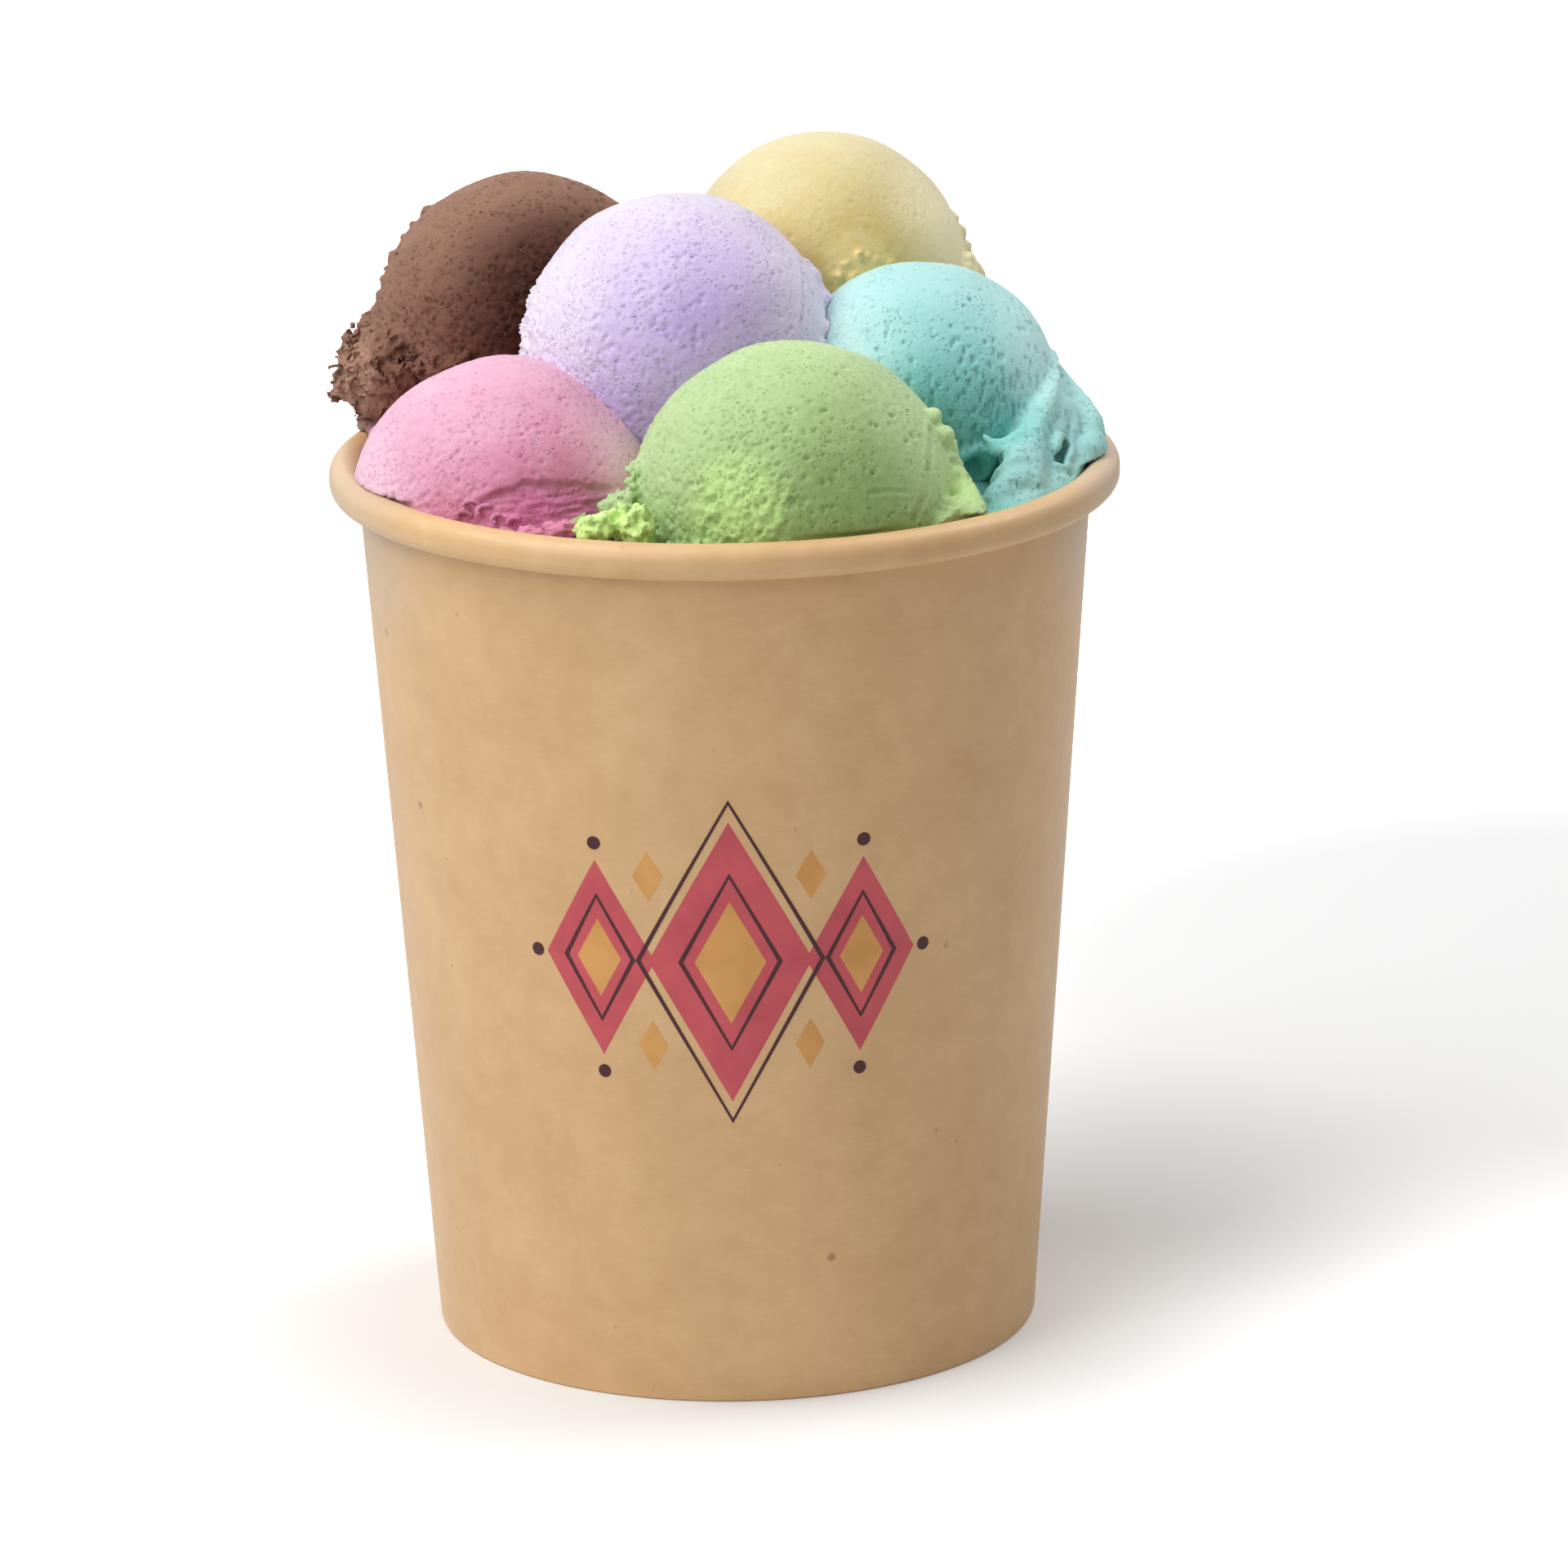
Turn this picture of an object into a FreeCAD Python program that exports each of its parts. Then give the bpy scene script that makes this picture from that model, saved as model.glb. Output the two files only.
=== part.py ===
"""A quart-size kraft paper ice cream cup, heaped with six scoops.

Millimetres, +Z up, +X to the viewer's right, -Y towards the viewer.
The origin is the middle of the ring that the cup stands on.
"""
import FreeCAD, Part

import math
import os

from FreeCAD import Vector

# The cup, outside sizes
cup_height = 133.0
foot_radius = 45.0          # outside of the wall where it meets the table
wall_top_radius = 54.15     # outside of the wall, just under the rolled rim
rim_width = 4.85            # the rolled rim, across its section
rim_height = 5.3            # the rolled rim, from its lowest to its highest point
curl_tuck = 1.2             # how far the curled edge runs up inside the roll

# The board and how it is joined
wall_board = 0.5
base_board = 0.5
seal_gap = 0.03             # film of sealing plastic between two layers of board
curl_gap = 0.1              # between the curled edge and the wall
fold_height = 6.5           # foot edge of the wall, folded inwards and up
fold_bend = 0.4             # outside radius of the fold's two corners
base_raise = 8.0            # underside of the base disc above the table
base_bend = 1.0             # outside radius where the base turns down into its skirt
seam_lap = 9.0              # width of the side seam's double layer
seam_ramp = 3.0             # width over which the outer layer comes down again
seam_azimuth = 90.0         # degrees from +X: the seam is at the back
seam_top_gap = 0.2          # seam ends this far under the rolled rim

# The ice cream under the scoops
fill_gap = 0.05             # between ice cream and board
bed_edge_drop = 8.0         # its top meets the wall this far under the rim
bed_crown_rise = 5.0        # its middle stands this far over the rim

# The six scoops, the ones in front first, because a front scoop dents those behind it.
# One scooper made them all, so a scoop's sizes are counted in scoop radii: its ball, its
# inset from the inside of the mouth and its height over the rim, at an azimuth in degrees.
# A skirt is a run of lumps of crumbs round the ball. It goes from one azimuth and elevation
# to another, seen from the ball's middle. The lumps' middles stand out from its surface,
# and their sizes vary a little.
scoop_radius = 22.5
lump_change = 0.12
SCOOPS = [
    dict(name="pistachio", azimuth=-70.3, inset=1.016, above_rim=-0.058, ball=1.062, skirts=[
        dict(start=(150, -6), end=(196, 2), stand=0.044, lump=0.231, count=5),
        dict(start=(205, -4), end=(236, -4), stand=0.071, lump=0.187, count=4),
        dict(start=(-6, 34), end=(-14, -4), stand=0.009, lump=0.196, count=6)]),
    dict(name="strawberry", azimuth=-159.2, inset=0.873, above_rim=-0.28, ball=1.036, skirts=[]),
    dict(name="mint", azimuth=9.6, inset=1.06, above_rim=0.271, ball=0.911, skirts=[
        dict(start=(-40, -16), end=(62, -16), stand=0.08, lump=0.24, count=8),
        dict(start=(-20, -4), end=(40, -4), stand=0.0, lump=0.204, count=5)]),
    dict(name="lavender", azimuth=156.2, inset=2.053, above_rim=0.667, ball=1.016, skirts=[
        dict(start=(-8, 30), end=(2, 8), stand=-0.036, lump=0.16, count=5)]),
    dict(name="chocolate", azimuth=136.4, inset=0.582, above_rim=0.591, ball=1.009, skirts=[
        dict(start=(95, -20), end=(214, -20), stand=0.133, lump=0.249, count=10),
        dict(start=(118, -4), end=(206, -2), stand=0.018, lump=0.196, count=7)]),
    dict(name="lemon", azimuth=65.4, inset=0.771, above_rim=0.831, ball=0.967, skirts=[
        dict(start=(-30, -14), end=(150, -18), stand=0.009, lump=0.209, count=11),
        dict(start=(-12, 2), end=(10, -4), stand=-0.027, lump=0.16, count=3)]),
]

# Worked out from the sizes above
mouth_radius = wall_top_radius - wall_board
rim_radius = mouth_radius + rim_width
rim_underside = cup_height - rim_height
slant = math.atan2(wall_top_radius - foot_radius, rim_underside)
skirt_outer = wall_board + seal_gap             # depths inside the wall's outer face
skirt_inner = skirt_outer + base_board
fold_outer = skirt_inner + seal_gap
fold_inner = fold_outer + wall_board
axis_up = Vector(0, 0, 1)
origin = Vector(0, 0, 0)
TINY = 1e-6


def at(radius, height):
    """A point of a section, on the +X side."""
    return Vector(radius, 0, height)


def line(start, end):
    return Part.LineSegment(start, end).toShape()


def arc(start, through, end):
    return Part.Arc(start, through, end).toShape()


def turned(edges):
    """The solid that a closed section makes when it is turned about the axis."""
    section = Part.Face(Part.Wire(Part.__sortEdges__(edges)))
    return section.revolve(origin, axis_up, 360)


def outline(points):
    """The closed ring of straight edges through some points."""
    return [line(here, there) for here, there in zip(points, points[1:] + points[:1])]


def rings(shape, height):
    """The closed edges of a turned shape that lie level at a height."""
    return [edge for edge in shape.Edges if edge.Closed
            and abs(edge.BoundBox.ZMin - height) < TINY and abs(edge.BoundBox.ZMax - height) < TINY]


def wall_radius(height):
    """The outside of the wall at a height."""
    return foot_radius + height * math.tan(slant)


def inside_wall(depth, height):
    """A point a depth inside the wall's outer face, at a height."""
    return at(wall_radius(height) - depth / math.cos(slant), height)


def direction(azimuth, elevation):
    """A unit vector, from two angles in degrees."""
    turn = math.radians(azimuth)
    lift = math.radians(elevation)
    return Vector(math.cos(turn) * math.cos(lift), math.sin(turn) * math.cos(lift), math.sin(lift))


def cup_wall():
    """One sheet: the fold at the foot, the cone, and the rolled rim, with its side seam."""
    # The fold and the cone
    under_rim = at(wall_top_radius, rim_underside)
    inside_rim = at(mouth_radius, rim_underside)
    fold = [
        under_rim,
        inside_wall(0, 0),
        inside_wall(fold_inner, 0),
        inside_wall(fold_inner, fold_height),
        inside_wall(fold_outer, fold_height),
        inside_wall(fold_outer, wall_board),
        inside_wall(wall_board, wall_board),
        inside_rim,
    ]
    edges = [line(here, there) for here, there in zip(fold, fold[1:])]
    # The rolled rim: over the top, down the outside, and back under to the wall
    crown = rim_width / 2
    crown_inner = crown - wall_board
    crown_height = cup_height - crown
    crown_radius = mouth_radius + crown
    tuck = (rim_width - wall_board - curl_gap) / 2
    tuck_inner = tuck - wall_board
    tuck_height = rim_underside + tuck
    tuck_radius = rim_radius - tuck
    tip_height = tuck_height + curl_tuck
    tip_outside = tuck_radius - tuck
    tip_inside = tuck_radius - tuck_inner
    edges += [
        line(inside_rim, at(mouth_radius, crown_height)),
        arc(at(mouth_radius, crown_height), at(crown_radius, cup_height),
            at(rim_radius, crown_height)),
        line(at(rim_radius, crown_height), at(rim_radius, tuck_height)),
        arc(at(rim_radius, tuck_height), at(tuck_radius, rim_underside),
            at(tip_outside, tuck_height)),
        line(at(tip_outside, tuck_height), at(tip_outside, tip_height)),
        line(at(tip_outside, tip_height), at(tip_inside, tip_height)),
        line(at(tip_inside, tip_height), at(tip_inside, tuck_height)),
        arc(at(tip_inside, tuck_height), at(tuck_radius, rim_underside + wall_board),
            at(rim_radius - wall_board, tuck_height)),
        line(at(rim_radius - wall_board, tuck_height), at(rim_radius - wall_board, crown_height)),
        arc(at(rim_radius - wall_board, crown_height), at(crown_radius, cup_height - wall_board),
            at(crown_radius - crown_inner, crown_height)),
        line(at(crown_radius - crown_inner, crown_height), under_rim),
    ]
    sheet = turned(edges)
    return sheet.makeFillet(fold_bend, rings(sheet, 0)).fuse(seam_layer())


def seam_layer():
    """The outer layer of the side seam: a raw edge on one side, a ramp on the other."""
    def plan(height):
        outside = wall_radius(height) + wall_board
        within = wall_radius(height) - wall_board / 2
        lap = math.degrees(seam_lap / foot_radius)
        ramp = math.degrees(seam_ramp / foot_radius)
        raw, top, foot = seam_azimuth - lap / 2, seam_azimuth + lap / 2, seam_azimuth + lap / 2 + ramp

        def spot(radius, azimuth):
            return direction(azimuth, 0) * radius + Vector(0, 0, height)

        return Part.Wire([
            arc(spot(outside, raw), spot(outside, (raw + top) / 2), spot(outside, top)),
            line(spot(outside, top), spot(within, foot)),
            arc(spot(within, foot), spot(within, (raw + foot) / 2), spot(within, raw)),
            line(spot(within, raw), spot(outside, raw)),
        ])

    return Part.makeLoft([plan(fold_bend), plan(rim_underside - seam_top_gap)], True, True)


def cup_base():
    """The base disc, with the skirt that the wall's fold grips."""
    top = base_raise + base_board
    skirt_foot = wall_board + seal_gap
    disc = turned(outline([
        at(0, base_raise),
        inside_wall(skirt_inner, base_raise),
        inside_wall(skirt_inner, skirt_foot),
        inside_wall(skirt_outer, skirt_foot),
        inside_wall(skirt_outer, top),
        at(0, top),
    ]))
    return disc.makeFillet(base_bend, rings(disc, top))


def outside_the_room():
    """The board, and the space outside it, that ice cream keeps clear of."""
    crown = rim_width / 2
    crown_height = cup_height - crown
    crown_radius = mouth_radius + crown
    inner = mouth_radius - fill_gap
    outer = rim_radius + fill_gap
    foot_inner = foot_radius - wall_board / math.cos(slant) - fill_gap
    return turned([
        line(at(foot_inner, 0), at(inner, rim_underside)),
        line(at(inner, rim_underside), at(inner, crown_height)),
        arc(at(inner, crown_height), at(crown_radius, cup_height + fill_gap),
            at(outer, crown_height)),
        line(at(outer, crown_height), at(outer, 0)),
        line(at(outer, 0), at(foot_inner, 0)),
    ])


def scoop_middle(scoop):
    plan = direction(scoop["azimuth"], 0) * (mouth_radius - scoop["inset"] * scoop_radius)
    return plan + Vector(0, 0, cup_height + scoop["above_rim"] * scoop_radius)


def scoop_ball(scoop):
    """A scoop before its neighbours dent it: the ball, with its skirts of lumps."""
    middle = scoop_middle(scoop)
    ball_radius = scoop["ball"] * scoop_radius
    ball = Part.makeSphere(ball_radius, middle)
    lumps = []
    for skirt in scoop["skirts"]:
        reach = ball_radius + skirt["stand"] * scoop_radius
        for step in range(skirt["count"]):
            share = step / (skirt["count"] - 1)
            azimuth = skirt["start"][0] + share * (skirt["end"][0] - skirt["start"][0])
            elevation = skirt["start"][1] + share * (skirt["end"][1] - skirt["start"][1])
            size = skirt["lump"] * scoop_radius * (1 + lump_change * math.sin(2.4 * step))
            outwards = direction(azimuth, elevation)
            lumps.append(Part.makeSphere(size, middle + outwards * reach, outwards))
    return ball.multiFuse(lumps) if lumps else ball


def largest(shape):
    """The one solid that a cut leaves, without its loose shavings."""
    return max(shape.Solids, key=lambda solid: solid.Volume)


def scoops():
    """The six scoops, each cut by the board and by the scoops in front of it."""
    board = outside_the_room()
    in_front = []
    made = {}
    for scoop in SCOOPS:
        whole = scoop_ball(scoop)
        made["scoop_" + scoop["name"]] = largest(whole.cut([board] + in_front))
        in_front.append(whole)
    return made


def ice_cream_bed(nested):
    """The fill, from the base disc to a low crown, hollowed where the scoops sit."""
    floor = base_raise + base_board
    edge = cup_height - bed_edge_drop
    crown = cup_height + bed_crown_rise
    foot = wall_radius(floor) - wall_board / math.cos(slant) - fill_gap
    lip = wall_radius(edge) - wall_board / math.cos(slant) - fill_gap
    half = lip / 2
    round_of_crown = (lip ** 2 + (crown - edge) ** 2) / (2 * (crown - edge))
    half_height = crown - round_of_crown + math.sqrt(round_of_crown ** 2 - half ** 2)
    whole = turned([
        line(at(0, floor), at(foot, floor)),
        line(at(foot, floor), at(lip, edge)),
        arc(at(lip, edge), at(half, half_height), at(0, crown)),
        line(at(0, crown), at(0, floor)),
    ])
    return largest(whole.cut(nested))


def main():
    nodes = {"cup_wall": cup_wall(), "cup_base": cup_base()}
    nodes.update(scoops())
    nested = [shape for name, shape in nodes.items() if name.startswith("scoop_")]
    nodes["ice_cream_bed"] = ice_cream_bed(nested)
    os.makedirs("parts", exist_ok=True)
    for name, shape in nodes.items():
        solid = largest(shape)
        solid.exportStep(os.path.join("parts", name + ".step"))
        box = solid.BoundBox
        print(name, "valid" if solid.isValid() else "NOT VALID", len(shape.Solids),
              "solid, cm3:", round(solid.Volume / 1000, 2),
              "x %.1f %.1f  y %.1f %.1f  z %.1f %.1f" % (
                  box.XMin, box.XMax, box.YMin, box.YMax, box.ZMin, box.ZMax))


main()
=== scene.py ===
# %% [markdown]
# # A paper ice cream cup, heaped with scoops
#
# This lesson dresses a measured model of a kraft paper tub. The model is a fixed frame: it
# says where the wall, the base, the fill and each scoop are. Here each piece gets the form
# and the finish that it has close up: the rolled rim, the lapped seam, printed ink, pitted
# balls of ice cream and their ragged skirts.

# %% Load the frame
import math
import random

import bmesh
import bpy
import numpy as np
from mathutils import Matrix, Vector, noise
from mathutils.kdtree import KDTree


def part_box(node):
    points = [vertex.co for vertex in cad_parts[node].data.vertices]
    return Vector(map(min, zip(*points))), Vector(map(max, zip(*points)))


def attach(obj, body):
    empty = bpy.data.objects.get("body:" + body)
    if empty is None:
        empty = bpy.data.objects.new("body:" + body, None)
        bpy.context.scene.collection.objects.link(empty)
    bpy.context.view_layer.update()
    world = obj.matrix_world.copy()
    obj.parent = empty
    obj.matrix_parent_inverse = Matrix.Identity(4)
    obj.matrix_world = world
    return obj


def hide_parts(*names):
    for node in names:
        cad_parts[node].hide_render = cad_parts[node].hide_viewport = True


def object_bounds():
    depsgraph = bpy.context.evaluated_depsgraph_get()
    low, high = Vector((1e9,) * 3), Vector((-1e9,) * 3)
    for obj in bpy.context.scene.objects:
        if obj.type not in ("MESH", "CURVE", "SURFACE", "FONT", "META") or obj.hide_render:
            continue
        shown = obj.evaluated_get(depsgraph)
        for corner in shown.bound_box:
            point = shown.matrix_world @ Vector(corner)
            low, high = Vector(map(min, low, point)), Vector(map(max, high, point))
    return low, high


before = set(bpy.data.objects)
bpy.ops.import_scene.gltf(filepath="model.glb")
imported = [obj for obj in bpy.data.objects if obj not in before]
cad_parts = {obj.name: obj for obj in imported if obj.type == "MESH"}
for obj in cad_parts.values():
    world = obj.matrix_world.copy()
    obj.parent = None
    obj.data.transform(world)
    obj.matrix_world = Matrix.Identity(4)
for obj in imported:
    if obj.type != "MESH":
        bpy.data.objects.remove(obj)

cad_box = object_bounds()
print("nodes:", ", ".join(sorted(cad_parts)))

# %% [markdown]
# The frame is in metres. Sizes are easier to read in millimetres, so lengths below are in
# millimetres and are brought down to metres as a mesh is finished. The cup's height and rim
# come from the frame's box of `cup_wall`. The foot, the roll and the board's thickness can't
# be read off a box, so they repeat the solids' own values.

# %% Main sizes, in millimetres
MM = 0.001
wall_low, wall_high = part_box("cup_wall")
cup_height = wall_high[2] / MM
inside_box = 0.005          # so much less than the frame's own rim
rim_radius = min(wall_high[0], -wall_low[1]) / MM - inside_box
foot_radius = 45.0
rim_width = 4.85
rim_height = 5.3
board = 0.5
mouth_radius = rim_radius - rim_width
rim_underside = cup_height - rim_height
wall_top_radius = mouth_radius + board
slant = math.atan2(wall_top_radius - foot_radius, rim_underside)
print(f"cup {cup_height:.1f} mm high, rim radius {rim_radius:.1f} mm")


def wall_radius(height):
    """The outside of the wall at a height."""
    return foot_radius + height * math.tan(slant)


# %% [markdown]
# ## Small helpers for meshes
#
# Each piece is shaped in a bmesh, in millimetres, and then written out once: scaled down,
# normals pointing outwards, shaded smooth, and riding on the one body of this model. A
# finished object sits at the origin with its place in its mesh.

# %% Mesh helpers
def linked(name, data):
    """An object in the scene that holds a mesh, a lamp or a camera."""
    made = bpy.data.objects.new(name, data)
    bpy.context.collection.objects.link(made)
    return made


def piece_of(name, mesh, material):
    """Makes a finished mesh a piece of this object, shaded smooth."""
    for polygon in mesh.polygons:
        polygon.use_smooth = True
    mesh.materials.append(material)
    piece = linked(name, mesh)
    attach(piece, "root")
    print(name, "faces:", len(mesh.polygons))
    return piece


def from_bmesh(name, bm, material, sharp_degrees):
    """Turns a bmesh in millimetres into a finished piece."""
    bmesh.ops.scale(bm, vec=(MM, MM, MM), verts=bm.verts)
    bmesh.ops.recalc_face_normals(bm, faces=bm.faces)
    mesh = bpy.data.meshes.new(name)
    bm.to_mesh(mesh)
    bm.free()
    piece = piece_of(name, mesh, material)
    mesh.set_sharp_from_angle(angle=math.radians(sharp_degrees))
    return piece


def heading(azimuth, elevation=0.0):
    """A unit vector from two angles in degrees."""
    turn = math.radians(azimuth)
    lift = math.radians(elevation)
    return Vector((math.cos(turn) * math.cos(lift), math.sin(turn) * math.cos(lift), math.sin(lift)))


# %% [markdown]
# ## The view
#
# The camera repeats the photograph's view. It stands well back with a long lens, looks down
# by about sixteen degrees, and leans by less than a degree, so that the cup leans the same
# way. Its three axes are worked out here already, because the small accidents of each scoop
# are placed by where they are seen on its ball.

# %% The camera's axes
look_down = 15.81
lean = 0.83
camera_distance = 1343.9
aim = Vector((8.11, 0, 81.59))


def camera_axes():
    """Unit vectors to the right, up and back towards the camera."""
    right = Vector((1, 0, 0))
    up = heading(90, 90 - look_down)
    turn = math.radians(lean)
    return (right * math.cos(turn) - up * math.sin(turn),
            right * math.sin(turn) + up * math.cos(turn),
            heading(-90, look_down))


to_right, to_top, to_camera = camera_axes()
camera_place = aim + to_camera * camera_distance
print("camera at", [round(share) for share in camera_place], "mm")

# %% [markdown]
# ## Shader maths as expressions
#
# A material is a graph, and long graphs are hard to read as code. `Wire` wraps one output
# socket, so that `a * 2 + b` adds the Math nodes it needs. `Finish` holds a material's tree
# and makes every other kind of node with one method.

# %% Wires
class Wire:
    """One value or colour that flows through a material."""

    def __init__(self, finish, socket):
        self.finish = finish
        self.socket = socket

    def combine(self, operation, other, reverse=False):
        first, second = (other, self) if reverse else (self, other)
        return self.finish.node("ShaderNodeMath", {"operation": operation}, {0: first, 1: second})

    def __add__(self, other):
        return self.combine("ADD", other)

    def __sub__(self, other):
        return self.combine("SUBTRACT", other)

    def __mul__(self, other):
        return self.combine("MULTIPLY", other)

    def __rsub__(self, other):
        return self.combine("SUBTRACT", other, reverse=True)

    __radd__ = __add__
    __rmul__ = __mul__

    def between(self, low, high, start=0.0, end=1.0):
        """Eases from start to end while this value goes from low to high."""
        settings = {"interpolation_type": "SMOOTHSTEP"}
        inputs = {"Value": self, "From Min": low, "From Max": high, "To Min": start, "To Max": end}
        return self.finish.node("ShaderNodeMapRange", settings, inputs, "Result")


# %% [markdown]
# A finish starts from the Principled BSDF that every new material has. Its patterns all read
# Object coordinates, which keep their size in metres on every piece, so a grain of one
# millimetre is one millimetre everywhere. `node` is the only place where nodes are made.

# %% Finishes
class Finish:
    """A material with a Principled BSDF, whose nodes are made by one method."""

    def __init__(self, name):
        self.material = bpy.data.materials.new(name)
        self.material.use_nodes = True
        self.tree = self.material.node_tree
        self.shader = self.tree.nodes["Principled BSDF"]
        self.place = self.node("ShaderNodeTexCoord", {}, {}, "Object")

    def node(self, kind, settings, inputs, output=0):
        made = self.tree.nodes.new(kind)
        for key, value in settings.items():
            setattr(made, key, value)
        for key, value in inputs.items():
            self.feed(made.inputs[key], value)
        return Wire(self, made.outputs[output])

    def feed(self, socket, value):
        if isinstance(value, Wire):
            self.tree.links.new(value.socket, socket)
        else:
            socket.default_value = value

    def set(self, **values):
        """Sets the shader's own sockets, which are named with spaces."""
        for key, value in values.items():
            self.feed(self.shader.inputs[key.replace("_", " ")], value)

    def scaled(self, x, y=None, z=None):
        """Object coordinates in units of so many millimetres along each axis."""
        sizes = (x, y or x, z or x)
        scale = tuple(1 / (size * MM) for size in sizes)
        return self.node("ShaderNodeMapping", {}, {"Vector": self.place, "Scale": scale})

    def clouds(self, size, detail=2.0, roughness=0.5, place=None):
        """Soft noise from 0 to 1, whose lumps are about so many millimetres across."""
        where = place or self.scaled(size)
        inputs = {"Vector": where, "Scale": 1.0, "Detail": detail, "Roughness": roughness}
        return self.node("ShaderNodeTexNoise", {}, inputs, "Fac")

    def cells(self, size):
        """Distance to the nearest of many scattered points."""
        inputs = {"Vector": self.scaled(size), "Scale": 1.0}
        return self.node("ShaderNodeTexVoronoi", {}, inputs, "Distance")

    def along(self, way):
        """How far along a direction the surface lies from the origin."""
        settings = {"operation": "DOT_PRODUCT"}
        return self.node("ShaderNodeVectorMath", settings, {0: self.place, 1: tuple(way)}, "Value")

    def near(self, place, inner, outer):
        """1 within so many millimetres of a place, 0 beyond so many more."""
        where = tuple(place * MM)
        settings = {"operation": "DISTANCE"}
        far = self.node("ShaderNodeVectorMath", settings, {0: self.place, 1: where}, "Value")
        return far.between(inner * MM, outer * MM, 1.0, 0.0)

    def mix(self, amount, first, second):
        """Colours mixed by an amount from 0 to 1."""
        inputs = {0: amount, 6: first, 7: second}
        return self.node("ShaderNodeMix", {"data_type": "RGBA"}, inputs, 2)

    def bump(self, height, depth_mm, below=None):
        """A normal from a height that runs over 0 to 1, so many millimetres deep."""
        inputs = {"Height": height, "Strength": 1.0, "Distance": depth_mm * MM}
        if below is not None:
            inputs["Normal"] = below
        return self.node("ShaderNodeBump", {}, inputs)


def colour(red, green, blue):
    """A colour as it is read off a screen, from 0 to 255, for a shader's socket."""
    def linear(channel):
        share = channel / 255
        return share / 12.92 if share <= 0.04045 else ((share + 0.055) / 1.055) ** 2.4
    return (linear(red), linear(green), linear(blue), 1.0)


# %% [markdown]
# ## Kraft board
#
# Unbleached board is a warm brown that is never even: wide faint clouds from the pulp, fine
# fibres that lie mostly round the tub, and a few dark specks of bark. A thin sealing film
# gives it a satin gloss. The clouds and fibres mix colours, the specks are the cores of
# widely spread cells, and the coat is a plain number on the shader. The sides of the rim
# are painted paler and greyer, a painted sheen.

# %% The board's finish
def kraft_board():
    finish = Finish("kraft_board")
    clouds = finish.clouds(16, detail=4.0, roughness=0.6)
    blots = finish.clouds(4.5, detail=3.0, roughness=0.6)
    fibres = finish.clouds(1, detail=3.0, roughness=0.7, place=finish.scaled(2.6, 2.6, 0.45))
    grain = finish.clouds(0.35, detail=2.0, roughness=0.6)
    light = colour(223, 184, 134)
    deep = colour(207, 165, 114)
    tone = clouds.between(0.3, 0.7) * 0.55 + blots.between(0.3, 0.7) * 0.3
    tone = tone + fibres.between(0.3, 0.7) * 0.15
    paint = finish.mix(tone, deep, light)
    pale_fibre = fibres.between(0.62, 0.78) * 0.22
    paint = finish.mix(pale_fibre, paint, colour(236, 205, 164))
    bark = finish.cells(17).between(0.055, 0.02) * finish.clouds(3).between(0.35, 0.6)
    paint = finish.mix(bark * 0.6, paint, colour(120, 78, 44))
    flecks = finish.cells(5).between(0.1, 0.04) * finish.clouds(9).between(0.45, 0.65)
    paint = finish.mix(flecks * 0.35, paint, colour(160, 112, 70))
    # Painted sheen: the left and right sides of the rim are painted paler and greyer.
    rim_sheen_paint = finish.near(Vector((-57, -14, 130)), 8, 30) + finish.near(Vector((57, -8, 130)), 8, 26)
    paint = finish.mix(rim_sheen_paint * 0.5, paint, colour(206, 186, 166))
    finish.set(Base_Color=paint, Roughness=clouds.between(0.2, 0.8, 0.40, 0.50),
               Coat_Weight=0.18, Coat_Roughness=0.3, Specular_IOR_Level=0.45)
    relief = finish.bump(clouds * 0.5 + blots * 0.5, 0.10)
    relief = finish.bump(fibres, 0.02, relief)
    finish.set(Normal=finish.bump(grain, 0.006, relief))
    return finish.material


board_finish = kraft_board()
print("board finish:", len(board_finish.node_tree.nodes), "nodes")

# %% [markdown]
# ## The wall and its rolled rim
#
# The wall is one sheet: folded up at the foot, wrapped to a cone, and curled outwards at the
# top. A sheet like that is easiest to draw as a section and turn about the axis. The section
# starts with square corners, a vertex bevel rounds the roll's corners, and `spin` turns it.
# Bevelling the section first is exact and cheap; bevelling the turned solid would be neither.

# %% The wall
skirt_depth = 1.06          # depth inside the wall's face where the foot's fold begins
fold_depth = skirt_depth + board
fold_height = 6.5
curl_gap = 0.1
curl_tip = 3.4              # height of the curled edge over the rim's underside
fold_bend = 0.4
bend_steps = 10
wall_rows = 17
turn_steps = 256


def in_section(radius, height):
    return Vector((radius, 0, height))


def inside_face(depth, height):
    return in_section(wall_radius(height) - depth / math.cos(slant), height)


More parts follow.
